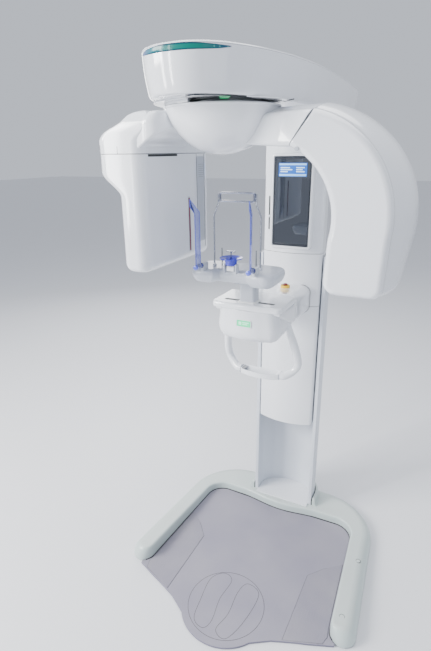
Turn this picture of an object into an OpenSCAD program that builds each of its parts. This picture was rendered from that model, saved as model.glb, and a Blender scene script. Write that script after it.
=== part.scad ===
/* [Foot] */
// Height of the foot behind, where the column stands
foot_h = 46; // [40:1:60]
// Extra height that the two side arms gain towards their tips
foot_rise = 24; // [0:1:30]
// Half distance between the centres of the two rounded tips
tip_x = 448; // [430:1:470]
// Distance from the turning axis back to the tip centres
tip_y = 78; // [60:1:100]
// Radius of each rounded tip
tip_r = 48; // [40:1:54]
// Radius of the outer corners behind
heel_r = 262; // [240:1:280]
// Thickness of the standing plate
plate_t = 8; // [6:1:12]
// Radius of the step-in bulge of the plate
bulge_r = 180; // [160:1:190]
// Radius of the marked circle that the patient stands in
mark_r = 153; // [140:1:156]

/* [Column] */
// Half width of the moving column's covers
col_half = 128; // [120:1:130]
// Half width of the fixed channel
chan_half = 150; // [148:1:160]
// Top of the fixed channel
chan_top = 1300; // [1200:10:1350]
// Bottom edge of the moving covers, in the lift's middle position
cover_bot = 505; // [480:1:520]
// Thickness of every plastic cover
wall = 3; // [2:0.5:4]
// Gap left between two covers at a seam
seam = 1.5; // [1:0.5:2]

/* [Overhead beam] */
// Underside of the beam
beam_z = 1835; // [1830:1:1840]
// Depth of the beam, from its underside to its top edge
beam_h = 105; // [95:1:112]
// Half width of the beam
beam_half = 208; // [195:1:215]
// Distance that the rounded nose reaches in front of the turning axis
nose = 266; // [250:1:275]
// Rear face of the beam
beam_rear = 862; // [850:1:870]

/* [Gantry] */
// Radius of the ball that the hub bowl is cut from
bowl_r = 162; // [158:1:166]
// Half depth of the shoulders, front to back
shoulder_d = 110; // [100:1:116]
// Lower edge of both arms
arm_bot = 1366; // [1362:1:1375]
// Height of the X-ray beam's centre line
ray_z = 1486; // [1480:1:1495]
// Distance from the turning axis to the detector's face
face_x = 185; // [183:1:195]

/* [Patient support] */
// Top of the support body
lid_z = 1220; // [1210:1:1225]
// Half width of the support body
lid_half = 120; // [115:1:125]
// Top of the chin table
table_z = 1362; // [1356:1:1364]
// Half distance between the two temple supports
temple_x = 88; // [84:1:92]
// Height of the temple supports' pivots
temple_z = 1378; // [1374:1:1384]

/* [Hidden] */
$fn = 64;

white = "#f2f4f8";
pale = "#c9d6d6";
mauve = "#9a98a8";
steel = "#a9adb3";
dark = "#24262c";
blue = "#3a49d6";

function arc(cx, cy, r, a0, a1, n) =
    [for (i = [0:n]) let (a = a0 + (a1 - a0) * i / n) [cx + r * cos(a), cy + r * sin(a)]];
// Rounded rectangle, counter-clockwise, with n + 1 points at each corner
function rounded(x0, x1, y0, y1, r, n = 5) = concat(
    arc(x1 - r, y1 - r, r, 0, 90, n), arc(x0 + r, y1 - r, r, 90, 180, n),
    arc(x0 + r, y0 + r, r, 180, 270, n), arc(x1 - r, y0 + r, r, 270, 360, n));
function at_y(pts, y) = [for (p = pts) [p[0], y, p[1]]];
function at_z(pts, z) = [for (p = pts) [p[0], p[1], z]];

// Skin through rings of equal point counts. It has a flat end at the first and last ring, or
// with closed it joins the last ring to the first. flip turns it inside out.
module skin(rings, flip = false, closed = false) {
    n = len(rings[0]);
    m = len(rings);
    sides = [for (k = [0:m - (closed ? 1 : 2)], i = [0:n - 1], t = [0:1])
        let (j = (i + 1) % n, next = (k + 1) % m,
            a = k * n + i, b = k * n + j, c = next * n + i, e = next * n + j)
        t == 0 ? [a, c, e] : [a, e, b]];
    ends = [[for (i = [0:n - 1]) i], [for (i = [n - 1:-1:0]) (m - 1) * n + i]];
    faces = closed ? sides : concat(sides, ends);
    polyhedron([for (r = rings) each r],
        flip ? [for (f = faces) [for (i = [len(f) - 1:-1:0]) f[i]]] : faces, convexity = 6);
}
module slab(x0, x1, y0, y1, z0, z1) {
    translate([x0, y0, z0]) cube([x1 - x0, y1 - y0, z1 - z0]);
}
module rod(x, y, z0, z1, r) {
    translate([x, y, z0]) cylinder(h = z1 - z0, r = r);
}
module lay_y(y) {
    translate([0, y, 0]) rotate([90, 0, 0]) children();
}
module both_sides() {
    children();
    mirror([1, 0, 0]) children();
}

// Foot: a horseshoe round the patient's standing place, open to the front
heel_x = 200;
heel_y = 545;
toe_in_r = 85;
toe_in_x = 285;
toe_in_y = 545;
foot_back = heel_y + heel_r;
foot_front = 630;
// Angles at which the straight arm sides leave the round tips
out_a = 2.54;
in_a = 183.64;
// Front edge of the foot behind the plate, bowed forwards in the middle
function brow(x, d) = foot_front + d - 12 * (1 + cos(180 * x / 216));
function foot_half() = concat(
    [for (i = [0:9]) [i * 21, brow(i * 21, 0)]],
    arc(toe_in_x, toe_in_y, toe_in_r, 90, in_a - 180, 6),
    arc(tip_x, tip_y, tip_r, in_a, 360 + out_a, 10),
    arc(heel_x, heel_y, heel_r, out_a, 90, 9),
    [for (i = [6:-1:0]) let (x = i * 28) [x, foot_back + 30 * (1 + cos(180 * x / 196))]]);
foot_last = 21;
// Level under the column, then rising along the arms
function foot_top(y) = foot_h + foot_rise * min(1, max(0, (foot_front - 24 - y) / foot_front));
// One cross-section of the foot: a steep inner wall, the crown, and a long round to the outer edge
function foot_section(a, b, side) =
    let (w = norm(b - a), u = (b - a) / w, k = min(1, w / 60), h = foot_top(a[1]),
    wall_in = [[3, 0], [0, 4], [0, h * 0.76], [1.5, h * 0.9], [5, h * 0.98], [12, h]],
    round_out = [[44, h], [24, h * 0.9], [10, h * 0.7], [2, h * 0.4], [1, 5], [5, 0]])
    [for (c = wall_in, p = [a + u * k * c[0]]) [side * p[0], p[1], c[1]],
     for (c = round_out, p = [b - u * k * c[0]]) [side * p[0], p[1], c[1]]];
module base_foot() {
    plan = foot_half();
    tip = plan[foot_last + 1];
    pairs = [for (k = [0:foot_last]) [plan[k], plan[2 * foot_last + 2 - k]],
        [tip + (plan[foot_last] - tip) * 0.2, tip + (plan[foot_last + 2] - tip) * 0.2]];
    color(pale) skin([for (k = [foot_last + 1:-1:1]) foot_section(pairs[k][0], pairs[k][1], -1),
        for (q = pairs) foot_section(q[0], q[1], 1)], flip = true);
}

// Plate that the patient stands on, inside the horseshoe
plate_gap = 2;
bulge_a = 36;
function plate_half(d) = concat(
    arc(0, 0, bulge_r - d, -90, -bulge_a, 5),
    [[215, -62 + d], [300, -28 + d], [392 - d, 12 + d]],
    arc(tip_x, tip_y, tip_r + plate_gap + d, 210, 183.64, 3),
    arc(toe_in_x, toe_in_y, toe_in_r - plate_gap - d, 3.64, 90, 6));
function plate_ring(d) = let (h = plate_half(d), n = len(h)) concat(h,
    [for (i = [6:-1:-6]) [i * 27, brow(abs(i) * 27, -plate_gap - d)]],
    [for (i = [n - 1:-1:1]) [-h[i][0], h[i][1]]]);
groove_w = 1.6;
groove_d = 0.8;
module sole(x, lean) {
    translate([x, 12]) rotate(lean) difference() {
        hull() { translate([0, 62]) circle(34); translate([0, -68]) circle(30); }
        hull() { translate([0, 62]) circle(34 - groove_w); translate([0, -68]) circle(30 - groove_w); }
    }
}
module floor_plate() {
    color(mauve) difference() {
        linear_extrude(plate_t) polygon(plate_ring(0));
        translate([0, 0, plate_t - groove_d]) {
            linear_extrude(2) difference() {
                circle(mark_r);
                circle(mark_r - groove_w);
            }
            linear_extrude(2) { sole(-44, -7); sole(44, -7); }
        }
    }
}
panel_x = 252;
panel_back = 340;
module side_panels() {
    color("#8f8e9e") both_sides() translate([0, 0, plate_t]) linear_extrude(1.5)
        polygon([[panel_x, -34], [384, 18], [390, 60], [372, panel_back + 60],
            [panel_x + 52, panel_back], [panel_x, panel_back - 62]]);
}

// Fixed channel, open to the front; the moving column nests in it
chan_front = 660;
chan_side = 705;
chan_back = 856;
chan_in = 134;
chan_in_back = 800;
duct_r = 19;
function half_round(hx, y0, y1, n) =
    [for (i = [0:n]) let (a = 180 * i / n) [hx * cos(a), y0 + (y1 - y0) * sin(a)]];
module chan_section() {
    difference() {
        union() {
            polygon(half_round(chan_half, chan_side, chan_back, 28));
            translate([-chan_half, chan_front]) square([2 * chan_half, chan_side - chan_front + 0.01]);
        }
        polygon(half_round(chan_in, chan_side, chan_in_back, 28));
        translate([-chan_in, chan_front - 1]) square([2 * chan_in, chan_side - chan_front + 1.01]);
        translate([0, chan_in_back + 28]) circle(duct_r);
    }
}
module fixed_column() {
    color("#dfe6ee") difference() {
        translate([0, 0, foot_h]) linear_extrude(chan_top - foot_h) chan_section();
        for (x = [-rail_x, rail_x], z = block_zs) lay_y(chan_back)
            translate([x, z, 0]) cylinder(h = 120, r = bolt_r);
    }
}
collar_h = 40;
collar_w = 19;
tray_t = 5;
module column_trim() {
    color(white) translate([0, 0, foot_h]) linear_extrude(tray_t) {
        intersection() {
            polygon(half_round(chan_in - 0.5, chan_side, chan_in_back - 0.5, 28));
            translate([-chan_in, chan_side]) square([2 * chan_in, 200]);
        }
        translate([-chan_in + 0.5, chan_front - 22])
            square([2 * chan_in - 1, chan_side - chan_front + 22.01]);
    }
    color(pale) translate([0, 0, foot_h]) difference() {
        linear_extrude(collar_h) difference() {
            union() {
                polygon(half_round(chan_half + collar_w, chan_side, chan_back + 7, 28));
                translate([-chan_half - collar_w, chan_front])
                    square([2 * (chan_half + collar_w), chan_side - chan_front + 0.01]);
            }
            polygon(half_round(chan_half + 5, chan_side, chan_back + 1, 28));
            translate([-chan_half - 5, chan_front - 1])
                square([2 * chan_half + 10, chan_side - chan_front + 1.01]);
        }
        translate([0, chan_front, collar_h]) rotate([35, 0, 0])
            translate([-200, -60, 0]) cube([400, 80, 60]);
    }
}

// Lift: rails on the mast run in blocks on the channel, and a screw turns in a fixed nut
mast_x = 92;
mast_front = 668;
mast_back = 748;
mast_top = 1830;
rail_x = 70;
rail_t = 8;
block_zs = [950, 1200];
nut_z = 1075;
screw_y = 708;
screw_r = 10;
bolt_r = 4.2;
screw_lo = 712;
screw_hi = 1560;
mast_bot = cover_bot + 5;
mast_slot = 26;
module guide_blocks() {
    color(steel) for (x = [-rail_x, rail_x], z = block_zs) difference() {
        slab(x - 20, x + 20, mast_back + 2, block_back(), z - 35, z + 35);
        slab(x - 9.5, x + 9.5, mast_back + 1, mast_back + rail_t + 0.5, z - 36, z + 36);
    }
}
function block_back() = chan_side + (chan_in_back - chan_side) * sqrt(1 - pow(90.5 / chan_in, 2)) - 0.2;
module nut_bracket() {
    color("#6d7278") difference() {
        union() {
            slab(-20, 20, screw_y - 28, 797.5, nut_z - 14, nut_z + 14);
            slab(-24, 24, 786, 797.5, nut_z - 45, nut_z + 45);
        }
        rod(0, screw_y, nut_z - 20, nut_z + 20, 17);
    }
}
module lift_nut() {
    color("#b08d4a") difference() {
        union() {
            rod(0, screw_y, nut_z - 22, nut_z + 22, 17);
            rod(0, screw_y, nut_z + 14, nut_z + 20, 24);
        }
        rod(0, screw_y, nut_z - 30, nut_z + 30, screw_r + 0.08);
    }
}
module mast_frame() {
    color("#6d7278") for (z = [screw_lo, screw_hi - 24]) difference() {
        slab(-mast_x + 5, mast_x - 5, mast_front + 5, mast_back - 5, z, z + 24);
        rod(0, screw_y, z - 1, z + 25, 8.06);
    }
    color("#c4c9cf") difference() {
        slab(-mast_x, mast_x, mast_front, mast_back, mast_bot, mast_top);
        slab(-mast_x + 6, mast_x - 6, mast_front + 6, mast_back - 6, mast_bot - 1, mast_top - 8);
        slab(-mast_slot, mast_slot, mast_back - 7, mast_back + 1, screw_lo - 12, screw_hi - 30);
        slab(-60, 60, mast_front - 1, mast_front + 7, 1230, 1560);
    }
}
module guide_rails() {
    color(steel) for (x = [-rail_x, rail_x])
        slab(x - 9, x + 9, mast_back, mast_back + rail_t, mast_bot, 1640);
}
module lead_screw() {
    color(steel) union() {
        rod(0, screw_y, screw_lo + 2, screw_hi - 1, 8);
        rod(0, screw_y, screw_lo + 26, screw_hi - 26, screw_r);
    }
}
module lift_motor() {
    color(dark) difference() {
        union() {
            slab(-30, 30, mast_front + 6, mast_back - 6, screw_hi, screw_hi + 20);
            rod(0, screw_y, screw_hi + 20, screw_hi + 150, 30);
        }
        rod(0, screw_y, screw_hi - 1, screw_hi + 16, 9);
    }
}

// Covers of the moving column: a bowed front with rounded edges
bow_r = 288;
cover_front = 620;
bow_y = cover_front + bow_r;
edge_r = 18;
cover_back = 700;
function cover_outline(d) = let (c = edge_a()) concat(
    [[col_half - d, cover_back], [-col_half + d, cover_back]],
    arc(-col_half + edge_r, corner_y(), edge_r - d, 180, 180 + c, 6),
    arc(0, bow_y, bow_r - d, 180 + c, 360 - c, 12),
    arc(col_half - edge_r, corner_y(), edge_r - d, 360 - c, 360, 6));
function corner_y() = bow_y - sqrt(pow(bow_r - edge_r, 2) - pow(col_half - edge_r, 2));
function edge_a() = acos((col_half - edge_r) / (bow_r - edge_r));
module cover_shell(z0, z1) {
    translate([0, 0, z0]) linear_extrude(z1 - z0) difference() {
        polygon(cover_outline(0));
        difference() {
            polygon(cover_outline(wall));
            translate([-col_half, cover_back - wall]) square([2 * col_half, wall + 1]);
        }
        translate([-mast_x - 0.3, mast_front]) square([2 * mast_x + 0.6, 100]);
    }
}
seam_lo = 1088;
seam_hi = 1314;
module cover_lower() {
    color(white) {
        difference() {
            cover_shell(cover_bot, seam_lo - seam);
            arm_pass();
        }
        translate([0, 0, cover_bot]) linear_extrude(wall) difference() {
            polygon(cover_outline(wall));
            translate([-mast_x - 0.3, mast_front]) square([2 * mast_x + 0.6, 100]);
        }
    }
}
module cover_middle() {
    color(white) difference() {
        cover_shell(seam_lo, seam_hi - seam);
        arm_pass();
    }
}
mirror_half = 76;
mirror_z0 = 1348;
mirror_z1 = 1689;
mirror_y = cover_front - 5;
frame_w = 5.8;
lever_x = -101;
lever_z0 = 1404;
lever_z1 = 1540;
module cover_upper() {
    color(white) difference() {
        cover_shell(seam_hi, beam_z - 1);
        slab(-mirror_half - 6, mirror_half + 6, 600, 640, mirror_z0 - 6, mirror_z1 + 6);
        slab(lever_x - 3, lever_x + 3, 600, 660, lever_z0, lever_z1);
    }
}
module cover_rear() {
    color(white) translate([0, 0, 1668]) linear_extrude(beam_z - 1669) difference() {
        union() {
            polygon(half_round(col_half, cover_back + 20, 840, 24));
            translate([-col_half, cover_back + 0.3]) square([2 * col_half, 20]);
        }
        polygon(half_round(col_half - wall, cover_back + 20, 840 - wall, 24));
        translate([-col_half + wall, cover_back - 1]) square([2 * (col_half - wall), 21.1]);
    }
}
module mirror_bezel() {
    color(dark) difference() {
        slab(-mirror_half - frame_w, mirror_half + frame_w, mirror_y, mirror_y + 22,
            mirror_z0 - frame_w, mirror_z1 + frame_w);
        slab(-mirror_half, mirror_half, mirror_y - 1, mirror_y + 5, mirror_z0, mirror_z1);
        slab(-mirror_half + 8, mirror_half - 8, mirror_y, mirror_y + 40, mirror_z0 + 8, mirror_z1 - 8);
    }
}
screen_half = 57;
screen_z0 = 1618;
screen_z1 = 1668;
module mirror_glass() {
    color("#5b6470") difference() {
        slab(-mirror_half + 0.2, mirror_half - 0.2, mirror_y + 0.6, mirror_y + 5,
            mirror_z0 + 0.2, mirror_z1 - 0.2);
        slab(-screen_half, screen_half, mirror_y, mirror_y + 6, screen_z0, screen_z1);
    }
}
module status_display() {
    color("#2f6fd0") slab(-screen_half + 0.2, screen_half - 0.2, mirror_y + 0.6, mirror_y + 9,
        screen_z0 + 0.2, screen_z1 - 0.2);
}
lever_z = 1459;
module lever_knob() {
    color(white) {
        slab(lever_x - 2.7, lever_x + 2.7, 632, 652, lever_z - 3, lever_z + 3);
        lay_y(634) translate([lever_x, lever_z, 0]) cylinder(h = 9, r = 8);
    }
}

// Overhead beam: a long housing with an elliptical nose
nose_y = 300;
nose_e = 0.86;
tail_x = 140;
lip_z = 8;
beam_top = beam_z + beam_h;
cap_z = beam_top - 8;
function beam_outline(d) = concat(
    [for (i = [0:30]) let (a = 180 + 6 * i)
        [(beam_half - d) * sgn_pow(cos(a), nose_e), nose_y + (nose + nose_y - d) * sgn_pow(sin(a), nose_e)]],
    [[beam_half - 4 - d, 480], [beam_half - 14 - d, 680]],
    arc(tail_x, beam_rear - 45, 45 - d, 0, 90, 4),
    arc(-tail_x, beam_rear - 45, 45 - d, 90, 180, 4),
    [[-beam_half + 14 + d, 680], [-beam_half + 4 + d, 480]]);
function sgn_pow(v, e) = sign(v) * pow(abs(v), e);
function beam_ring(d, z) = at_z(beam_outline(d), z);
belly_d = 20;
belly_t = 4;
hub_hole = 132;
module beam_housing() {
    color(white) {
        skin([beam_ring(belly_d, beam_z), beam_ring(15, beam_z + 1), beam_ring(11, beam_z + lip_z),
            beam_ring(3, beam_z + 50), beam_ring(0, cap_z), beam_ring(wall, cap_z),
            beam_ring(wall + 3, beam_z + 50), beam_ring(15.5, beam_z + lip_z),
            beam_ring(belly_d, beam_z + belly_t)],
            closed = true);
        translate([0, 0, beam_z]) linear_extrude(belly_t) difference() {
            polygon(beam_outline(belly_d));
            circle(hub_hole);
            translate([-mast_x - 1, mast_front - 1]) square([2 * mast_x + 2, 100]);
        }
    }
}
chassis_z = beam_z + belly_t;
chassis_t = 10;
module beam_chassis() {
    color("#8b9096") {
        difference() {
            slab(-118, 118, -150, mast_back + 30, chassis_z, chassis_z + chassis_t);
            rod(0, 0, chassis_z - 1, chassis_z + chassis_t + 1, 95);
            rod(motor_at[0], motor_at[1], chassis_z - 1, chassis_z + chassis_t + 1, 20);
        }
        slab(-mast_x + 6.5, mast_x - 6.5, mast_front + 6.5, mast_back - 6.5, mast_top, chassis_z);
        for (x = [-118, 112])
            slab(x, x + 6, -60, mast_back + 30, chassis_z + chassis_t, chassis_z + 60);
    }
}
module beam_top_cover() {
    color(white) skin([beam_ring(26, beam_top + 5), beam_ring(9, beam_top), beam_ring(2, beam_top - 4),
        beam_ring(0, cap_z + 0.8), beam_ring(wall, cap_z + 0.8), beam_ring(12, beam_top - 4),
        beam_ring(28, beam_top + 1)], flip = true);
}
lens_n = 13;
lens_mid = cap_z - 12;
function lens_ring(i) = let (j = 8 + i, h = 0.8 + 8.2 * sin(180 * (i + 0.5) / (lens_n + 1)),
    b = beam_point(j, lens_mid - h, -0.2), t = beam_point(j, lens_mid + h, -0.2),
    bo = beam_point(j, lens_mid - h + 0.3, -2), to = beam_point(j, lens_mid + h - 0.3, -2)) [b, bo, to, t];
function beam_point(j, z, d) = let (w = 3 * (cap_z - z) / (cap_z - beam_z - 50), p = beam_outline(w + d)[j])
    [p[0], p[1], z];
module led_lens() {
    color("#1f8f78") skin([for (i = [0:lens_n]) lens_ring(i)], flip = true);
}

// Hub: a bearing under the chassis carries the whole gantry
bear_r = 95;
bear_in = 70;
bear_z = chassis_z - 1;
module hub_trim() {
    color("#0d3b2e") difference() {
        rod(0, 0, beam_z - 3, beam_z, 150);
        rod(0, 0, beam_z - 4, beam_z + 1, hub_hole);
    }
}
module bearing_outer() {
    color(steel) difference() {
        union() {
            rod(0, 0, bear_z - 8, chassis_z, bear_r + 25);
            rod(0, 0, bear_z - 14, chassis_z + chassis_t - 1, bear_r - 0.3);
        }
        rod(0, 0, bear_z - 20, bear_z + 20, bear_in + 12);
    }
}
module bearing_inner() {
    color("#c9cdd2") difference() {
        union() {
            rod(0, 0, bear_z - 30, bear_z + 14, bear_in + 11.94);
            rod(0, 0, bear_z + 14, bear_z + 26, bear_in);
        }
        rod(0, 0, bear_z - 31, bear_z + 27, 45);
    }
}
belt_z = bear_z + 26;
belt_w = 16;
wheel_r = 84;
motor_at = [0, 330];
pulley_r = 21;
belt_t = 2.5;
module drive_wheel() {
    color("#3b3f46") difference() {
        union() {
            rod(0, 0, belt_z, belt_z + belt_w + 4, wheel_r);
            rod(0, 0, belt_z, belt_z + 2, wheel_r + 5);
        }
        rod(0, 0, belt_z - 1, belt_z + belt_w + 5, 45);
    }
}
module motor_pulley() {
    color("#5a5f67") translate([motor_at[0], motor_at[1], 0]) difference() {
        union() {
            rod(0, 0, belt_z, belt_z + belt_w + 4, pulley_r);
            rod(0, 0, belt_z, belt_z + 2, pulley_r + 4);
        }
        rod(0, 0, belt_z - 1, belt_z + belt_w + 5, 6.06);
    }
}
module belt_loop(d) {
    a = acos((wheel_r - pulley_r) / motor_at[1]);
    circle(wheel_r + d);
    translate(motor_at) circle(pulley_r + d);
    polygon([[(wheel_r + d) * sin(a), (wheel_r + d) * cos(a)],
        [(pulley_r + d) * sin(a), motor_at[1] + (pulley_r + d) * cos(a)],
        [-(pulley_r + d) * sin(a), motor_at[1] + (pulley_r + d) * cos(a)],
        [-(wheel_r + d) * sin(a), (wheel_r + d) * cos(a)]]);
}
module drive_belt() {
    color(dark) translate([0, 0, belt_z + 3]) linear_extrude(belt_w - 2) difference() {
        belt_loop(0.35 + belt_t);
        belt_loop(0.35);
    }
}
module drive_motor() {
    color(dark) translate([motor_at[0], motor_at[1], 0]) {
        difference() {
            slab(-45, 45, -45, 45, chassis_z + chassis_t, belt_z - 0.5);
            rod(0, 0, chassis_z, belt_z, 8);
        }
        rod(0, 0, belt_z - 8, belt_z + belt_w + 8, 6);
        slab(-10, 10, -10, 10, belt_z - 8.5, belt_z - 8);
    }
}
spine_z0 = 1768;
spine_z1 = 1790;
module gantry_spine() {
    color("#8b9096") {
        difference() {
            union() {
                lay_y(spine_y) linear_extrude(2 * spine_y) polygon([
                    [-236, spine_z1], [-236, 1420], [-224, 1420], [-224, spine_z0], [288, spine_z0],
                    [tube_x - 40, 1650], [tube_x - 40, 1560],
                    [tube_x - 26, 1560], [tube_x - 26, 1656], [296, spine_z1]]);
                rod(0, 0, spine_z1, bear_z - 30, bear_in + 11);
            }
            rod(0, 0, spine_z0 - 1, bear_z, 45);
        }
    }
}
bowl_z = 1865;
rim_z = beam_z - 9;
module hub_bowl() {
    color(white) difference() {
        rotate_extrude($fn = 96) difference() {
            intersection() {
                translate([0, bowl_z]) circle(bowl_r);
                translate([0, bowl_z - bowl_r - 1]) square([bowl_r + 1, bowl_r + 1 - bowl_z + rim_z]);
            }
            translate([0, bowl_z]) circle(bowl_r - wall);
        }
        slab(-200, 200, -spine_y - 2, spine_y + 2, spine_z0 - 2, spine_z1 + 2);
    }
}
spine_y = 30;
neck = 34;

// Shoulders: short boxes from the hub to the two arms, cut to the bowl
should_z0 = 1731;
should_z1 = 1818;
seam_top_x = 291;
seam_bot_x = 232;
function shoulder_ring(x0, x1, y0, y1, z0, d) =
    [for (p = rounded(y0 + d, y1 - d, z0 + d, should_z1 - d, 14 - d, 4))
        [x0 + (x1 - x0) * (p[1] - z0) / (should_z1 - z0), p[0], p[1]]];
function right_rings(d, over) = [
    shoulder_ring(60 - over, 60 - over, -neck, 60, should_z0, d),
    shoulder_ring(100, 112, -neck - 4, 66, should_z0, d),
    shoulder_ring(142, 168, -neck - 24, 82, should_z0, d),
    shoulder_ring(186, 224, -neck - 54, 98, should_z0, d),
    shoulder_ring(seam_bot_x - 1 + over, seam_top_x - 1 + over, -shoulder_d, arm_rear, should_z0, d)];
function left_rings(d, over) = [
    shoulder_ring(-knee_x + 1 - over, -knee_x + 1 - over, -shoulder_d + 10, shoulder_d, 1746, d),
    shoulder_ring(-120, -120, -neck - 24, 90, 1756, d),
    shoulder_ring(-60 + over, -60 + over, -neck, 60, 1764, d)];
module shoulder_right() {
    color(white) difference() {
        skin(right_rings(0, 0));
        skin(right_rings(wall, 2));
        translate([0, 0, bowl_z]) sphere(r = bowl_r + 0.6, $fn = 96);
    }
}
knee_x = 152;
module shoulder_left() {
    color(white) difference() {
        skin(left_rings(0, 0));
        skin(left_rings(wall, 2));
        translate([0, 0, bowl_z]) sphere(r = bowl_r + 0.6, $fn = 96);
    }
}

// X-ray arm: a crescent, flat in front and swelling outwards behind
arm_cx = 235;
arm_cz = 1550;
arm_r = 248;
arm_rise = 258;
throat_x = 150;
throat_r = 188;
arm_front = -110;
arm_seam = -90;
arm_rear = 108;
// d insets the outline, g swells it outwards and end pulls its shoulder end back by some degrees
function crescent(d, g, end = 0) =
    let (low_x = arm_cx + (arm_r + g) * cos(-8), top_a = 79 - g / 40 - end) concat(
    [for (i = [0:16]) let (a = top_a - (top_a + 8) * i / 16, rise = a > 0 ? arm_rise + 0.5 * g : arm_r + g)
        [arm_cx + (arm_r + g - d) * cos(a), arm_cz + (rise - d) * sin(a)]],
    arc(low_x - 34 - g * 0.4, arm_bot + 30, 30 - d, -15, -90, 4),
    arc(362, arm_bot + 34, 34 - d, -90, -180, 5),
    arc(throat_x, arm_cz, throat_r + d, -14, 66 - d / 17 - end, 12));
// Degrees by which the hollow stops short of the shoulder end
end_wall = 2;
module source_front_cover() {
    color(white) skin([at_y(crescent(17, 0), arm_front), at_y(crescent(8, 0), arm_front + 2),
        at_y(crescent(2, 0), arm_front + 8), at_y(crescent(0, 0), arm_seam - seam),
        at_y(crescent(wall, 0, end_wall), arm_seam - seam),
        at_y(crescent(wall + 2, 0, end_wall), arm_front + 9),
        at_y(crescent(17, 0, end_wall), arm_front + wall)]);
}
module source_rear_cover() {
    color(white) difference() {
        skin([at_y(crescent(26, 26), arm_rear), at_y(crescent(14, 29), arm_rear - 5),
            at_y(crescent(3, 31), arm_rear - 18), at_y(crescent(0, 38), 50), at_y(crescent(0, 40), 20),
            at_y(crescent(0, 36), -20), at_y(crescent(0, 22), -55), at_y(crescent(0, 0), arm_seam),
            at_y(crescent(wall, 0, end_wall), arm_seam), at_y(crescent(wall, 18, end_wall), -55),
            at_y(crescent(wall, 32, end_wall), -20), at_y(crescent(wall, 34, end_wall), 50),
            at_y(crescent(wall + 3, 28, end_wall), arm_rear - 18),
            at_y(crescent(24, 26, end_wall), arm_rear - wall)], flip = true);
        slab(215, 300, -spine_y - 2, spine_y + 2, spine_z0 - 2, spine_z1 + 2);
        slab(320, 350, -40, 40, ray_z - 90, ray_z + 90);
    }
}
tube_x = arm_cx + arm_r - 43;
module tube_head() {
    color("#b9bec5") {
        lay_y(66) translate([tube_x, ray_z, 0]) cylinder(h = 132, r = 38);
        slab(tube_x - 26, tube_x + 42, -47, 47, ray_z + 30, 1640);
        difference() {
            slab(port_x, tube_x - 10, -34, 34, ray_z - 30, ray_z + 30);
            slab(port_x - 1, tube_x - 36, -6, 6, ray_z - 18, ray_z + 18);
        }
    }
}
port_x = tube_x - 52;
module collimator() {
    color("#5a5f67") difference() {
        slab(port_x - 48, port_x, -36, 36, ray_z - 70, ray_z + 70);
        slab(port_x - 49, port_x - 8, -28, 28, ray_z - 62, ray_z + 62);
        slab(port_x - 9, port_x + 1, -3, 3, ray_z - 20, ray_z + 20);
    }
}

// Detector arm: a box whose upper end steps outwards to the shoulder
det_front = -136;
det_rear = 270;
det_out = 276;
det_step = 338;
det_seam = 1710;
det_bot = 1372;
function det_ring(x0, z, d, r = 34) =
    at_z(rounded(x0 + d, -face_x - d, det_front + d, det_rear - d, r - d), z);
function det_x(z) = let (t = max(0, min(1, (z - 1590) / 70)))
    -det_out - (det_step - det_out) * (3 * t * t - 2 * t * t * t);
det_zs = [1396, 1590, 1607, 1625, 1643, 1660, 1700, det_seam - seam];
module detector_lower_cover() {
    color(white) difference() {
        skin(concat([det_ring(-det_out, det_bot, 26, 40), det_ring(-det_out, det_bot + 4, 12, 40),
            det_ring(-det_out, det_bot + 12, 3, 38)], [for (z = det_zs) det_ring(det_x(z), z, 0)],
            [for (i = [len(det_zs) - 1:-1:0]) det_ring(det_x(det_zs[i]), det_zs[i], wall)],
            [det_ring(-det_out, det_bot + 14, wall + 3, 38), det_ring(-det_out, det_bot + wall, 26, 40)]));
        slab(-face_x - 8, -face_x + 1, slit_y - 4, slit_y + 4, slit_z0, slit_z1);
    }
}
function cap_ring(x0, x1, z, d, r = 34) = at_z(rounded(x0 + d, x1 - d, det_front + d, det_rear - d, r), z);
module detector_upper_cover() {
    color(white) difference() {
        skin([cap_ring(-212, -knee_x, should_z1, 24, 5), cap_ring(-238, -knee_x, 1806, 10, 12),
            cap_ring(-262, -knee_x, 1788, 3, 18), cap_ring(-312, -knee_x - 10, 1767, 0, 24),
            cap_ring(-338, -knee_x - 28, 1748, 0), cap_ring(-det_step, -face_x, 1728, 0),
            cap_ring(-det_step, -face_x, det_seam, 0), cap_ring(-det_step, -face_x, det_seam, wall, 31),
            cap_ring(-det_step, -face_x, 1728, wall, 31), cap_ring(-336, -knee_x - 30, 1746, wall, 31),
            cap_ring(-310, -knee_x - 12, 1764, wall, 22), cap_ring(-260, -knee_x, 1784, 6, 16),
            cap_ring(-236, -knee_x, 1802, 13, 10), cap_ring(-212, -knee_x, should_z1 - wall, 27, 4)],
            flip = true);
        slab(-220, -100, -spine_y - 2, spine_y + 2, spine_z0, spine_z1 + 2);
    }
}
slit_y = 122;
slit_z0 = 1402;
slit_z1 = 1572;
module slit_window() {
    color("#7a1f3a") slab(-face_x - 6, -face_x - 0.8, slit_y - 3.8, slit_y + 3.8,
        slit_z0 + 0.2, slit_z1 - 0.2);
}
module detector_panel() {
    color(dark) {
        slab(-214, -194, -70, 190, 1410, 1600);
        slab(-224, -214, -30, 30, 1450, 1560);
        for (z = [1430, 1560]) slab(-194, -face_x - wall, -40, 60, z, z + 20);
    }
}

// Patient support: a rounded bracket from the column to the body in front
arm_half = 94;
lid_t = 20;
under_lid = lid_z - lid_t - 0.5;
cheek_front = 178;
arm_z0 = 1056;
arm_z1 = 1180;
body_front = 152;
body_rear = 330;
panel_rear = 272;
cheek_half = lid_half + 1;
function bracket_ring(y, hw, z0, z1) = at_y(rounded(-hw, hw, z0, z1, min(hw, (z1 - z0) / 2) * 0.55, 5), y);
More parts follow.
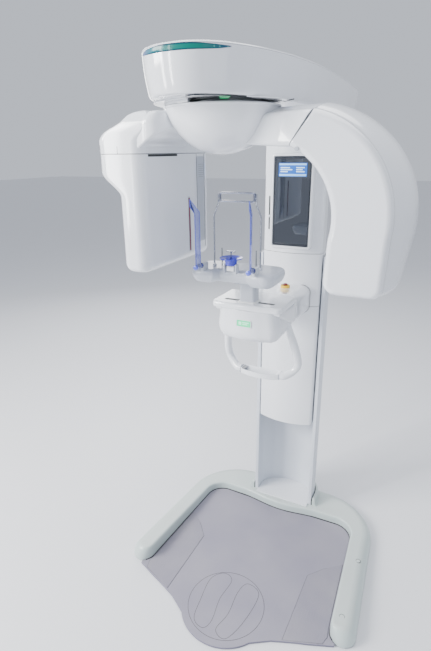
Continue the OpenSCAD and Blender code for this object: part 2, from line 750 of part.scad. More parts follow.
// Lower edge of the arm's cheeks, running down and back from the lid's front
function cheek_low(y) = under_lid - 10 - 0.58 * (y - cheek_front);
module arm_form(g) {
    skin([bracket_ring(cheek_front - g, cheek_half + g, under_lid - 10 - g, under_lid),
        bracket_ring(body_rear, cheek_half + g, cheek_low(body_rear) - g, under_lid),
        bracket_ring(body_rear + 0.5, cheek_half + g, cheek_low(body_rear) - g, 1216),
        bracket_ring(400, 112 + g, 1088 - g, 1206), bracket_ring(500, 102, 1074, 1190),
        bracket_ring(600, arm_half, arm_z0 + 6, arm_z1 + 2),
        bracket_ring(mast_front, arm_half - 6, arm_z0, arm_z1)], flip = true);
}
// The arm is open in front of this depth, with a cheek on each side
mouth_y = 240;
module support_arm() {
    color(white) difference() {
        arm_form(0);
        skin([bracket_ring(mouth_y, cheek_half - wall, cheek_low(mouth_y) + 8, under_lid - 6),
            bracket_ring(body_rear + 0.5, cheek_half - wall, cheek_low(body_rear) + 6, under_lid - 6),
            bracket_ring(body_rear + 8, cheek_half - 8, cheek_low(body_rear) + 6, 1208),
            bracket_ring(400, 106, 1094, 1200), bracket_ring(500, 96, 1080, 1184),
            bracket_ring(600, arm_half - 6, arm_z0 + 12, arm_z1 - 4),
            bracket_ring(mast_front - 8, arm_half - 12, arm_z0 + 6, arm_z1 - 6)], flip = true);
        slab(-cheek_half + wall + 5, cheek_half - wall - 5, cheek_front - 1, mouth_y + 1, cheek_low(mouth_y) - 2,
            under_lid + 1);
        stop_hole(9);
    }
}
module arm_pass() {
    skin([bracket_ring(590, arm_half + 2.5, arm_z0 - 2, arm_z1 + 4.5),
        bracket_ring(mast_front + 1, arm_half - 2, arm_z0 - 3, arm_z1 + 3)], flip = true);
}
// Plan of the support body: square behind, bowed and rounded in front
function body_ring(z, d, half, r, bow, rear) = at_z(concat(
    [[half - d, rear - d], [-half + d, rear - d]],
    arc(-half + r, body_front + bow + r, r - d, 180, 262, 5),
    [for (i = [-5:5]) let (t = i / 6) [t * (half - r), body_front + d + bow * t * t]],
    arc(half - r, body_front + bow + r, r - d, 278, 360, 5)), z);
slot_y = 200;
slot_half = 96;
function lid_ring(z, d) = body_ring(z, d, lid_half + 10, 22, 6, body_rear);
module support_lid() {
    color(white) difference() {
        skin([lid_ring(lid_z, 6), lid_ring(lid_z - 3, 1.5), lid_ring(lid_z - 8, 0),
            lid_ring(lid_z - lid_t, 2), lid_ring(lid_z - lid_t, 8),
            lid_ring(lid_z - 8, 6), lid_ring(lid_z - 4, 10)], flip = true);
        slab(-slot_half, slot_half, slot_y - 5, slot_y + 5, lid_z - 20, lid_z + 1);
    }
}
panel_bot = 1080;
// Plan of the panel, wider low down than under the lid
function panel_ring(z, d) = body_ring(z, d, 112 + 8 * min(1, (under_lid - z) / 70), 46, 12, panel_rear);
module support_panel() {
    color(white) difference() {
        skin([panel_ring(panel_bot, 34), panel_ring(panel_bot + 5, 20), panel_ring(panel_bot + 16, 9),
            panel_ring(panel_bot + 36, 2), panel_ring(panel_bot + 60, 0), panel_ring(under_lid - 0.5, 0),
            panel_ring(under_lid - 0.5, wall), panel_ring(panel_bot + 60, wall),
            panel_ring(panel_bot + 38, wall + 2), panel_ring(panel_bot + 20, wall + 9),
            panel_ring(panel_bot + 5, 34)]);
        slab(-sign_half, sign_half, 140, 164, sign_z0, sign_z1);
        arm_form(1);
    }
}
sign_half = 26;
sign_z0 = 1142;
sign_z1 = 1165;
module sign_lens() {
    color("#8af0b4") slab(-sign_half + 0.2, sign_half - 0.2, body_front + 0.5, body_front + 7,
        sign_z0 + 0.2, sign_z1 - 0.2);
}
stop_at = [12, 545];
stop_z = arm_z1 - 4;
module stop_hole(r) {
    rod(stop_at[0], stop_at[1], stop_z - 40, stop_z + 40, r);
}
module stop_base() {
    color("#f2c230") difference() {
        union() {
            rod(stop_at[0], stop_at[1], stop_z + 12, stop_z + 18, 18);
            rod(stop_at[0], stop_at[1], stop_z - 32, stop_z + 13, 8.9);
        }
        rod(stop_at[0], stop_at[1], stop_z - 33, stop_z + 19, 6.06);
    }
}
module stop_button() {
    color("#8c1f1f") {
        rod(stop_at[0], stop_at[1], stop_z - 20, stop_z + 26, 6);
        rod(stop_at[0], stop_at[1], stop_z + 24, stop_z + 32, 10);
    }
}
hand_r = 15;
// The tubes start thin under the arm and reach their full size after the first bend
function path_tube(pts, r_full, n) = [for (i = [0:len(pts) - 1])
    let (a = pts[max(0, i - 1)], b = pts[min(len(pts) - 1, i + 1)], t = (b - a) / norm(b - a),
        u = cross(t, [0, 1, 0]) / norm(cross(t, [0, 1, 0])), v = cross(t, u),
        r = r_full * min(1, 0.62 + 0.1 * i))
    [for (j = [0:n - 1]) pts[i] + r * (cos(360 * j / n) * u + sin(360 * j / n) * v)]];
hand_path = [[106, 300, 1150], [109, 298, 1128], [115, 298, 1106], [124, 301, 1076], [134, 309, 1040],
    [143, 328, 985], [144, 338, 955], [137, 341, 932], [121, 335, 913], [102, 323, 901], [91, 320, 899],
    [80, 320, 899]];
module handle() {
    color(white) both_sides() difference() {
        skin(path_tube(hand_path, hand_r, 14));
        arm_form(0.3);
    }
}
grip_half = 80;
module hand_grip() {
    color("#eef1f5") translate([0, 0, 886]) linear_extrude(22)
        polygon(concat([[grip_half - 0.3, 343], [-grip_half + 0.3, 343], [-grip_half + 0.3, 303]],
            arc(0, 455, 172, 245, 295, 8), [[grip_half - 0.3, 303]]));
}

// Chin unit: a block on a post, with the head supports standing on it
post_half = 28;
post_d = 24;
table_half = 148;
table_z0 = 1316;
stand_y = 50;
rod_x = 80;
rod_y = 96;
rod_r = 2.6;
loop_z0 = 1567;
loop_z1 = 1597;
loop_half = 61;
module chin_post() {
    color("#c9cdd2") {
        slab(-post_half, post_half, slot_y - post_d, slot_y + post_d, lid_z + 0.5, table_z0);
        slab(-post_half + 5, post_half - 5, 118, slot_y, table_z0 - 14, table_z0);
        slab(-12, 12, slot_y - 4.5, slot_y + 4.5, lid_z - 26, lid_z + 0.5);
        slab(-16, 16, slot_y - 12, slot_y + 12, lid_z - 32, lid_z - 26);
    }
}
function table_half_outline(d) = concat([[0, 62 + d], [44 + d, 62 + d], [54 + d, 32 + d]],
    arc(table_half - 40, 70, 38 - d, 270, 345, 4), arc(table_half - 46, 136, 44 - d, -5, 80, 5),
    [[0, 184 - d]]);
module table_layer(d, z0, z1) {
    half = table_half_outline(d);
    translate([0, 0, z0]) linear_extrude(z1 - z0)
        polygon(concat(half, [for (i = [len(half) - 2:-1:1]) [-half[i][0], half[i][1]]]));
}
module chin_table() {
    color("#d5d8dc") {
        difference() {
            union() {
                table_layer(4, table_z0, table_z0 + 4);
                table_layer(0, table_z0 + 4, table_z - 4);
                table_layer(3, table_z - 4, table_z);
            }
            for (x = [-rod_x, rod_x]) rod(x, rod_y, table_z - 40, table_z + 1, rod_r + 0.08);
        }
        both_sides() rod(60, 110, table_z, table_z + 58, 2);
        slab(-16, 16, stand_y - 12, 62 + 12, table_z - 20, table_z + 5);
    }
}
module head_rods() {
    color("#b6bcc6") both_sides() {
        rod(rod_x, rod_y, table_z - 36, loop_z0 - 42, rod_r);
        hull() {
            translate([rod_x, rod_y, loop_z0 - 42]) sphere(r = rod_r, $fn = 16);
            translate([loop_half + rod_r, rod_y, loop_z0 - 6]) sphere(r = rod_r, $fn = 16);
        }
        rod(loop_half + rod_r, rod_y, loop_z0 - 6, loop_z1 - 4, rod_r);
    }
}
module forehead_loop() {
    color("#e8ecf4", 0.5) difference() {
        slab(-loop_half, loop_half, rod_y - 8, rod_y + 4, loop_z0, loop_z1);
        slab(-loop_half + 5, loop_half - 5, rod_y - 9, rod_y + 5, loop_z0 + 5, loop_z1 - 5);
    }
}
cup_y = 52;
module chin_cup() {
    color(blue) {
        translate([0, cup_y, table_z + 18]) rotate_extrude() polygon(
            [[0, 0], [14, 0], [18, 3], [20, 14], [35, 21], [35, 24], [17, 17], [13, 5], [0, 5]]);
    }
    color("#8d9299") both_sides()
        slab(18, 22, stand_y - 8, stand_y + 12, table_z - 8, table_z + 22);
}
module bite_stick() {
    color("#cfd4dc") {
        rod(0, cup_y, table_z + 23, table_z + 60, 2.2);
        slab(-16, 16, cup_y - 3, cup_y + 3, table_z + 60, table_z + 63);
    }
}
temple_top = 165;
strip_half = 11;
// The strip's upper end leans forward by this much, and the strips turn in towards the back
reach = 30;
toe_in = 13;
module temple_strip() {
    color("#8f9cf0", 0.6) {
        rotate(toe_in) translate([-1.3, 0, 0]) rotate([90, 0, 90]) linear_extrude(2.6)
            polygon([[-strip_half, 6], [strip_half, 6], [strip_half, temple_top], [-reach, temple_top + 40],
                [-reach, temple_top + 18], [-strip_half, temple_top - 3]]);
        lay_y(17) difference() {
            cylinder(h = 34, r = 8);
            translate([0, 0, -1]) cylinder(h = 36, r = 4.06);
        }
    }
}
module temple_right() {
    translate([temple_x, 0, temple_z]) temple_strip();
}
module temple_left() {
    mirror([1, 0, 0]) temple_right();
}
module temple_clamps() {
    color("#1d2766") both_sides() translate([temple_x, 0, temple_z]) {
        lay_y(32) cylinder(h = 52, r = 4);
        lay_y(-17.5) cylinder(h = 8, r = 9);
        slab(-8, 8, 17.5, 60, table_z - temple_z, 6);
    }
}

base_foot();
floor_plate();
side_panels();
column_trim();
fixed_column();
guide_blocks();
nut_bracket();
lift_nut();
mast_frame();
guide_rails();
lead_screw();
lift_motor();
cover_lower();
cover_middle();
cover_upper();
cover_rear();
mirror_bezel();
mirror_glass();
status_display();
lever_knob();
beam_chassis();
beam_housing();
beam_top_cover();
led_lens();
hub_trim();
bearing_outer();
bearing_inner();
drive_wheel();
drive_belt();
drive_motor();
motor_pulley();
gantry_spine();
hub_bowl();
shoulder_left();
shoulder_right();
source_front_cover();
source_rear_cover();
tube_head();
collimator();
detector_upper_cover();
detector_lower_cover();
detector_panel();
slit_window();
support_arm();
support_lid();
support_panel();
sign_lens();
stop_base();
stop_button();
handle();
hand_grip();
chin_post();
chin_table();
head_rods();
forehead_loop();
chin_cup();
bite_stick();
temple_left();
temple_right();
temple_clamps();
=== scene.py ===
from math import acos, asin, copysign, cos, degrees, hypot, pi, radians, sin, sqrt

import bmesh
import bpy
from mathutils import Matrix, Vector


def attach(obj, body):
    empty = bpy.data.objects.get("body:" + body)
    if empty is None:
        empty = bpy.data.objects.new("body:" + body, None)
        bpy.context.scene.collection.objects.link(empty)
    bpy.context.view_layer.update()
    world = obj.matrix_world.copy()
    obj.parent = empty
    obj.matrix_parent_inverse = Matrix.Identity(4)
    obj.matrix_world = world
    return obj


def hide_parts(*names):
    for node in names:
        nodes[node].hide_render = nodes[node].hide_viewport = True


# A standing dental scanner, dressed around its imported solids.
# Sizes below are millimetres; every mesh is scaled to metres as it is made.
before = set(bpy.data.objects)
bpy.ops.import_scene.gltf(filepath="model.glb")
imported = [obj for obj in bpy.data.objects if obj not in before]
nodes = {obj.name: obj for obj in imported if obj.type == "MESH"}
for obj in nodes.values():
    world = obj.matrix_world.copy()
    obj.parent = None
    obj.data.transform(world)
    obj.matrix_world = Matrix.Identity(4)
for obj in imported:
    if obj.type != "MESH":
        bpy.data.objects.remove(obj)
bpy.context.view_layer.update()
MM = 0.001


# Plan shapes

def arc(cx, cy, r, a0, a1, n, ry=None):
    ry = r if ry is None else ry
    turn = [radians(a0 + (a1 - a0) * i / n) for i in range(n + 1)]
    return [(cx + r * cos(a), cy + ry * sin(a)) for a in turn]


def rounded(x0, x1, y0, y1, r, n=8):
    r = max(0.5, min(r, (x1 - x0) / 2 - 0.1, (y1 - y0) / 2 - 0.1))
    return (arc(x1 - r, y0 + r, r, -90, 0, n) + arc(x1 - r, y1 - r, r, 0, 90, n)
            + arc(x0 + r, y1 - r, r, 90, 180, n) + arc(x0 + r, y0 + r, r, 180, 270, n))


def at_z(points, z):
    return [(x, y, z) for x, y in points]


def at_y(points, y):
    return [(x, y, z) for x, z in points]


def at_x(points, x):
    return [(x, y, z) for y, z in points]


def lerp(a, b, t):
    return a + (b - a) * t


def ease(t):
    t = min(1.0, max(0.0, t))
    return t * t * (3 - 2 * t)


def through(points, per_side, closed=False):
    """Smooth curve through a few points or rows of numbers."""
    count = len(points)
    out = []
    for i in range(count if closed else count - 1):
        p = [points[(i + k - 1) % count] if closed else points[min(count - 1, max(0, i + k - 1))]
             for k in range(4)]
        for j in range(per_side):
            t = j / per_side
            out.append(tuple(0.5 * (2 * b + (c - a) * t + (2 * a - 5 * b + 4 * c - e) * t * t
                                    + (3 * b - a - 3 * c + e) * t ** 3) for a, b, c, e in zip(*p)))
    return out if closed else out + [tuple(points[-1])]


# Solids from plan shapes

def loft(rings, loop=False, ends=True):
    """Skin through rings of equal counts. With loop the last ring joins the first."""
    n, m = len(rings[0]), len(rings)
    verts = [p for ring in rings for p in ring]
    faces = [(k * n + i, k * n + (i + 1) % n, (k + 1) % m * n + (i + 1) % n, (k + 1) % m * n + i)
             for k in range(m if loop else m - 1) for i in range(n)]
    if ends and not loop:
        faces += [tuple(range(n)), tuple((m - 1) * n + i for i in reversed(range(n)))]
    return verts, faces


def plate(outline, z0, z1, holes=()):
    """Flat plate between two heights, with holes through it."""
    mesh = bmesh.new()
    edges = []
    for loop in (outline, *holes):
        ring = [mesh.verts.new((x, y, z0)) for x, y in loop]
        edges += [mesh.edges.new((ring[i - 1], ring[i])) for i in range(len(ring))]
    made = bmesh.ops.triangle_fill(mesh, edges=edges, use_beauty=True)
    faces = [f for f in made["geom"] if isinstance(f, bmesh.types.BMFace)]
    raised = bmesh.ops.extrude_face_region(mesh, geom=faces)["geom"]
    for vert in (v for v in raised if isinstance(v, bmesh.types.BMVert)):
        vert.co.z = z1
    mesh.verts.index_update()
    result = [tuple(v.co) for v in mesh.verts], [tuple(v.index for v in f.verts) for f in mesh.faces]
    mesh.free()
    return result


def tilted(shape, turn, place=(0, 0, 0)):
    """Turns a shape by a matrix and puts it in place."""
    verts, faces = shape
    return [tuple(turn @ Vector(v) + Vector(place)) for v in verts], faces


# Stands a plan drawn in X and Y upright, so that its height runs along -Y
FACING_FRONT = Matrix.Rotation(radians(90), 3, "X")


def spun(profile, n=96, centre=(0, 0)):
    """Body of revolution about a vertical axis; profile runs as (radius, height)."""
    rings = []
    for i in range(n):
        c, s = cos(2 * pi * i / n), sin(2 * pi * i / n)
        rings.append([(centre[0] + r * c, centre[1] + r * s, z) for r, z in profile])
    verts = [p for ring in rings for p in ring]
    k = len(profile)
    faces = [(i * k + j, (i + 1) % n * k + j, (i + 1) % n * k + j + 1, i * k + j + 1)
             for i in range(n) for j in range(k - 1)]
    return verts, faces


def tube(path, radius, n=16):
    """Round tube along a path, closed at both ends; radius is a number or one for each point."""
    rings = []
    for i, here in enumerate(path):
        ahead = Vector(path[min(len(path) - 1, i + 1)]) - Vector(path[max(0, i - 1)])
        ahead.normalize()
        side = ahead.cross(Vector((0.02, 1, 0.01))).normalized()
        up = ahead.cross(side)
        r = radius[i] if isinstance(radius, (list, tuple)) else radius
        rings.append([tuple(Vector(here) + r * (cos(2 * pi * j / n) * side
                                                + sin(2 * pi * j / n) * up)) for j in range(n)])
    return loft(rings)


def joined(*shapes):
    verts, faces = [], []
    for more_verts, more_faces in shapes:
        start = len(verts)
        verts += more_verts
        faces += [tuple(start + i for i in f) for f in more_faces]
    return verts, faces


def both(shape):
    """A shape and its mirror image across the middle."""
    verts, faces = shape
    return joined(shape, ([(-x, y, z) for x, y, z in verts], [tuple(reversed(f)) for f in faces]))


def ribbon(points, width, z, thick=0.35):
    """Thin closed line laid on a floor or plate."""
    n = len(points)
    inner, outer = [], []
    for i in range(n):
        ahead = Vector(points[(i + 1) % n]) - Vector(points[i - 1])
        side = Vector((-ahead.y, ahead.x)).normalized() * width / 2
        inner.append((points[i][0] + side.x, points[i][1] + side.y))
        outer.append((points[i][0] - side.x, points[i][1] - side.y))
    return loft([at_z(inner, z), at_z(inner, z + thick), at_z(outer, z + thick), at_z(outer, z)], loop=True)


def stacked(outline, steps, loop=False):
    """Skin through an outline drawn at each (inset, height)."""
    return loft([at_z(outline(d), z) for d, z in steps], loop)


def block(plan, z0, z1):
    """Upright block on a rounded plan, given as rounded() takes it."""
    return loft([at_z(rounded(*plan), z) for z in (z0, z1)])


def put(name, data):
    """Object of a mesh, light or camera, linked into the scene."""
    made = bpy.data.objects.new(name, data)
    bpy.context.scene.collection.objects.link(made)
    return made


def new_mesh(name, verts, faces):
    mesh = bpy.data.meshes.new(name)
    mesh.from_pydata([(x * MM, y * MM, z * MM) for x, y, z in verts], [], faces)
    return mesh


def smoothed(mesh, weld, crease=None):
    """Welds near points, turns the faces outwards and shades them smooth, sharp past the crease angle."""
    work = bmesh.new()
    work.from_mesh(mesh)
    bmesh.ops.remove_doubles(work, verts=work.verts, dist=weld)
    bmesh.ops.recalc_face_normals(work, faces=work.faces)
    for face in work.faces:
        face.smooth = True
    for edge in work.edges if crease else ():
        edge.smooth = len(edge.link_faces) == 2 and edge.calc_face_angle(0) < radians(crease)
    work.to_mesh(mesh)
    work.free()


def piece(name, shape, body, material, replaces=(), round_edge=0.0, crease=35):
    """Makes one finished piece: its mesh in place, smooth with crisp creases, riding on its body."""
    mesh = new_mesh(name, *shape)
    smoothed(mesh, 1e-5, crease)
    made = put(name, mesh)
    mesh.materials.append(material)
    if round_edge:
        bevel = made.modifiers.new("rounded edges", "BEVEL")
        bevel.width = round_edge * MM
        bevel.segments = 3
        bevel.limit_method = "ANGLE"
        bevel.angle_limit = radians(crease)
        bevel.use_clamp_overlap = True
        bevel.harden_normals = False
    made.modifiers.new("even shading", "WEIGHTED_NORMAL").keep_sharp = True
    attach(made, body)
    if replaces:
        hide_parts(*replaces)


def casing(name, shape, body, node, crease=50, round_edge=0.0):
    """White cover in place of its solid."""
    piece(name, shape, body, WHITE, [node], round_edge, crease)


# Shader groups

def feed(tree, node, values):
    """Gives each input a value, or a link where it is given another node's output."""
    for key, value in values.items():
        if isinstance(value, bpy.types.NodeSocket):
            tree.links.new(value, node.inputs[key])
        else:
            node.inputs[key].default_value = value


def add_node(tree, kind, values=None, **settings):
    made = tree.nodes.new(kind)
    for key, value in settings.items():
        setattr(made, key, value)
    feed(tree, made, values or {})
    return made


def calc(tree, operation, *values):
    return add_node(tree, "ShaderNodeMath", dict(enumerate(values)), operation=operation).outputs[0]


def blend(tree, factor, a, b):
    return add_node(tree, "ShaderNodeMix", {"Factor": factor, "A": a, "B": b}, data_type="RGBA").outputs["Result"]


def remap(tree, value, low=0.0, high=1.0, to=(0.0, 1.0)):
    return add_node(tree, "ShaderNodeMapRange", {"Value": value, "From Min": low, "From Max": high,
                                                 "To Min": to[0], "To Max": to[1]}).outputs["Result"]


def noise(tree, place, scale, detail):
    return add_node(tree, "ShaderNodeTexNoise", {"Vector": place, "Scale": scale, "Detail": detail}).outputs["Fac"]


def own_place(tree):
    return add_node(tree, "ShaderNodeTexCoord").outputs["Object"]


def new_group(name, inputs):
    """Shader group with named inputs; it puts out a colour, a roughness and a height."""
    group = bpy.data.node_groups.new(name, "ShaderNodeTree")
    for label, value in inputs.items():
        kind = {4: "Color", 3: "Vector"}[len(value)] if isinstance(value, tuple) else "Float"
        group.interface.new_socket(label, in_out="INPUT", socket_type="NodeSocket" + kind).default_value = value
    for label, kind in (("Color", "Color"), ("Roughness", "Float"), ("Height", "Float")):
        group.interface.new_socket(label, in_out="OUTPUT", socket_type="NodeSocket" + kind)
    return group, group.nodes.new("NodeGroupInput").outputs


def moulded_skin():
    """Slow cloudiness, fine peel and thin dust for moulded or painted surfaces."""
    group, given = new_group("moulded skin", {
        "Color": (0.8, 0.8, 0.8, 1), "Shade": (0.7, 0.7, 0.7, 1), "Cloud scale": 3.0, "Cloud": 0.3,
        "Peel scale": 260.0, "Dust": 0.05, "Rough low": 0.15, "Rough high": 0.28})
    place = own_place(group)
    cloud = noise(group, place, given["Cloud scale"], 3)
    base = blend(group, calc(group, "MULTIPLY", cloud, given["Cloud"]), given["Color"], given["Shade"])
    # Dust settles on faces that look up
    facing = add_node(group, "ShaderNodeNewGeometry").outputs["Normal"]
    upward = remap(group, add_node(group, "ShaderNodeSeparateXYZ", {0: facing}).outputs["Z"], 0.75)
    fleck = calc(group, "MULTIPLY", calc(group, "MULTIPLY", upward, given["Dust"]), cloud)
    rough = remap(group, cloud, to=(given["Rough low"], given["Rough high"]))
    add_node(group, "NodeGroupOutput", {
        "Color": blend(group, fleck, base, (0.62, 0.60, 0.57, 1)), "Roughness": calc(group, "ADD", rough, fleck),
        "Height": noise(group, place, given["Peel scale"], 2)})
    return group


def tool_marks():
    """Lines left by turning or brushing, run along one axis."""
    group, given = new_group("tool marks", {"Color": (0.6, 0.6, 0.6, 1), "Shade": (0.3, 0.3, 0.3, 1),
                                            "Stretch": (8.0, 8.0, 600.0), "Rough": 0.3})
    pull = add_node(group, "ShaderNodeVectorMath", {0: own_place(group), 1: given["Stretch"]}, operation="MULTIPLY")
    lines = noise(group, pull.outputs[0], 1.0, 4)
    add_node(group, "NodeGroupOutput", {
        "Color": blend(group, lines, given["Color"], given["Shade"]),
        "Roughness": calc(group, "MULTIPLY_ADD", lines, 0.25, given["Rough"]), "Height": lines})
    return group


SKIN = moulded_skin()
MARKS = tool_marks()


# Materials

def shader_base(name, group, given, values, bump=None):
    """Material on a group's colour and roughness; bump is its strength and depth in metres."""
    material = bpy.data.materials.new(name)
    material.use_nodes = True
    tree = material.node_tree
    skin = add_node(tree, "ShaderNodeGroup", given, node_tree=group).outputs
    shader = tree.nodes["Principled BSDF"]
    feed(tree, shader, {"Base Color": skin["Color"], "Roughness": skin["Roughness"], **values})
    if bump:
        relief = add_node(tree, "ShaderNodeBump", {"Strength": bump[0], "Distance": bump[1],
                                                   "Height": skin["Height"]})
        feed(tree, shader, {"Normal": relief.outputs["Normal"]})
    return material, tree, shader


def moulded(name, color, shade, rough, cloud=0.3, dust=0.05, coat=0.0, peel=0.1, peel_scale=260.0,
            cloud_scale=3.0, metallic=0.0, glow=None, glow_power=0.0, clear=0.0, alpha=1.0):
    """Plastic or paint: base colour, a slightly different shade in clouds, roughness range."""
    given = {"Color": (*color, 1), "Shade": (*shade, 1), "Cloud": cloud, "Cloud scale": cloud_scale, "Dust": dust,
             "Peel scale": peel_scale, "Rough low": rough[0], "Rough high": rough[1]}
    values = {"Metallic": metallic}
    if coat:
        values |= {"Coat Weight": coat, "Coat Roughness": 0.06}
    if glow:
        values |= {"Emission Color": (*glow, 1), "Emission Strength": glow_power}
    if clear:
        values |= {"Transmission Weight": clear, "IOR": 1.46}
    if alpha < 1:
        values["Alpha"] = alpha
    return shader_base(name, SKIN, given, values, (peel, 0.0004))[0]


def lit(name, color, shade, glow, power, rough=(0.2, 0.3)):
    return moulded(name, color, shade, rough, glow=glow, glow_power=power, dust=0.0, peel=0.0)


def machined(name, color, shade, rough, stretch, metallic=1.0):
    given = {"Color": (*color, 1), "Shade": (*shade, 1), "Stretch": stretch, "Rough": rough}
    return shader_base(name, MARKS, given, {"Metallic": metallic}, (0.15, 0.0002))[0]


WHITE = moulded("gloss white casing", (0.80, 0.82, 0.86), (0.72, 0.75, 0.80), (0.10, 0.17), cloud=0.35,
                dust=0.10, coat=0.7, peel=0.05)
GRIP_WHITE = moulded("satin white grip", (0.80, 0.82, 0.86), (0.70, 0.73, 0.78), (0.22, 0.34), dust=0.1, coat=0.3)
PALE = moulded("pale green-grey foot paint", (0.52, 0.60, 0.59), (0.43, 0.51, 0.50), (0.26, 0.38), cloud=0.5,
               dust=0.5, coat=0.25, peel=0.25, peel_scale=420)
COLUMN = moulded("light grey column paint", (0.66, 0.70, 0.76), (0.58, 0.62, 0.69), (0.30, 0.42), cloud=0.5,
                 dust=0.3, coat=0.1, peel=0.3, peel_scale=500)
MAT = moulded("mauve standing mat", (0.200, 0.190, 0.262), (0.160, 0.152, 0.222), (0.45, 0.62), cloud=0.8,
              dust=0.35, peel=0.5, peel_scale=700, cloud_scale=5)
MAT_TREAD = moulded("mauve tread panel", (0.185, 0.176, 0.242), (0.145, 0.138, 0.198), (0.50, 0.68), cloud=0.8,
                    dust=0.35, peel=0.6, peel_scale=900, cloud_scale=6)
GROOVE = moulded("dark groove", (0.030, 0.028, 0.040), (0.020, 0.020, 0.030), (0.6, 0.8), dust=0.1)
# Near-black laid into gaps, seams and slots: painted shade where light does not reach into them
BLACK = moulded("black gap shade", (0.006, 0.007, 0.008), (0.010, 0.010, 0.012), (0.45, 0.6), dust=0.0)
GASKET = moulded("black rubber", (0.012, 0.012, 0.014), (0.020, 0.020, 0.022), (0.55, 0.75), dust=0.2)
# Dark gloss for the mirror frame, and painted shade on the beam's underside
GLOSS_FRAME_AND_SHADE = moulded("dark gloss frame and painted underside shade", (0.020, 0.024, 0.032), (0.030, 0.034, 0.044), (0.08, 0.16), coat=0.8,
                      dust=0.03)
MIRROR = moulded("tinted mirror", (0.20, 0.215, 0.235), (0.15, 0.16, 0.18), (0.015, 0.05), metallic=1.0, cloud=0.6,
                 dust=0.0, peel=0.0)
SCREEN = lit("lit blue screen", (0.03, 0.14, 0.50), (0.02, 0.10, 0.42), (0.02, 0.13, 0.52), 0.7, (0.12, 0.2))
SCREEN_BAR = lit("pale screen bar", (0.6, 0.8, 0.95), (0.5, 0.72, 0.9), (0.55, 0.80, 1.0), 0.9)
SCREEN_BAND = lit("light blue screen band", (0.30, 0.55, 0.90), (0.25, 0.48, 0.82), (0.30, 0.62, 1.0), 0.8)
SLIT = moulded("dark red window", (0.16, 0.012, 0.045), (0.10, 0.008, 0.030), (0.10, 0.2), coat=0.5, dust=0.0)
VENT = moulded("grey vent strip", (0.46, 0.49, 0.54), (0.40, 0.43, 0.48), (0.3, 0.42), dust=0.1)
YELLOW = moulded("yellow collar", (0.90, 0.58, 0.03), (0.80, 0.48, 0.02), (0.28, 0.4), dust=0.1, coat=0.2)
STOP_RED = moulded("dark red button", (0.14, 0.006, 0.006), (0.10, 0.004, 0.004), (0.22, 0.34), coat=0.3, dust=0.1)
CHIN_GREY = moulded("grey-white table moulding", (0.52, 0.55, 0.61), (0.46, 0.49, 0.55), (0.22, 0.34), cloud=0.4,
                    dust=0.15, coat=0.3, peel=0.15, peel_scale=400)
BLOCK_WHITE = moulded("white block", (0.80, 0.81, 0.82), (0.72, 0.73, 0.75), (0.25, 0.35), dust=0.1)
BLUE = moulded("violet-blue cup", (0.035, 0.040, 0.50), (0.028, 0.030, 0.42), (0.16, 0.26), coat=0.3, dust=0.02)
STRIP_EDGE = moulded("blue strip edge", (0.10, 0.13, 0.62), (0.08, 0.10, 0.52), (0.1, 0.2), coat=0.4, dust=0.0)
NAVY = moulded("dark blue knob", (0.012, 0.022, 0.16), (0.010, 0.016, 0.11), (0.2, 0.3), coat=0.4, dust=0.03)
TEMPLE = moulded("tinted clear strip", (0.46, 0.51, 0.94), (0.40, 0.45, 0.88), (0.06, 0.12), clear=0.75, coat=0.4,
                 dust=0.0, alpha=0.82)
CLEAR = moulded("clear loop", (0.26, 0.29, 0.40), (0.22, 0.24, 0.34), (0.16, 0.24), clear=0.85, dust=0.0)
SIGN = lit("lit green sign", (0.05, 0.50, 0.24), (0.04, 0.42, 0.20), (0.06, 0.78, 0.34), 1.0)
SIGN_BAR = lit("pale sign bar", (0.4, 0.9, 0.6), (0.35, 0.85, 0.55), (0.25, 0.95, 0.55), 1.0)
GREEN_GLOW = lit("green window light", (0.01, 0.16, 0.06), (0.01, 0.12, 0.05), (0.01, 0.20, 0.07), 1.3)
SCREW = machined("screw steel", (0.42, 0.43, 0.45), (0.25, 0.26, 0.28), 0.25, (300.0, 300.0, 300.0))
RAIL = machined("ground steel", (0.55, 0.57, 0.60), (0.42, 0.44, 0.47), 0.18, (500.0, 500.0, 6.0))
TURNED = machined("turned steel", (0.52, 0.54, 0.57), (0.36, 0.38, 0.41), 0.22, (12.0, 12.0, 700.0))
ROD = machined("polished rod", (0.40, 0.42, 0.47), (0.32, 0.34, 0.39), 0.12, (400.0, 400.0, 10.0))
BRONZE = machined("turned bronze", (0.55, 0.34, 0.13), (0.40, 0.24, 0.09), 0.25, (12.0, 12.0, 700.0))
ANODISED = machined("black anodised", (0.030, 0.032, 0.036), (0.016, 0.017, 0.020), 0.34, (14.0, 14.0, 400.0), 0.7)
CAST = moulded("grey structural paint", (0.20, 0.215, 0.235), (0.15, 0.165, 0.185), (0.35, 0.5), cloud=0.6, dust=0.4,
               peel=0.5, peel_scale=380)
LEAD_GREY = moulded("lead-lined housing", (0.38, 0.39, 0.41), (0.30, 0.31, 0.33), (0.32, 0.5), cloud=0.7, dust=0.2,
                    metallic=0.6, peel=0.3, peel_scale=320)
BELT = moulded("belt rubber", (0.015, 0.015, 0.016), (0.025, 0.025, 0.027), (0.6, 0.8), dust=0.2, peel=0.6,
               peel_scale=900)


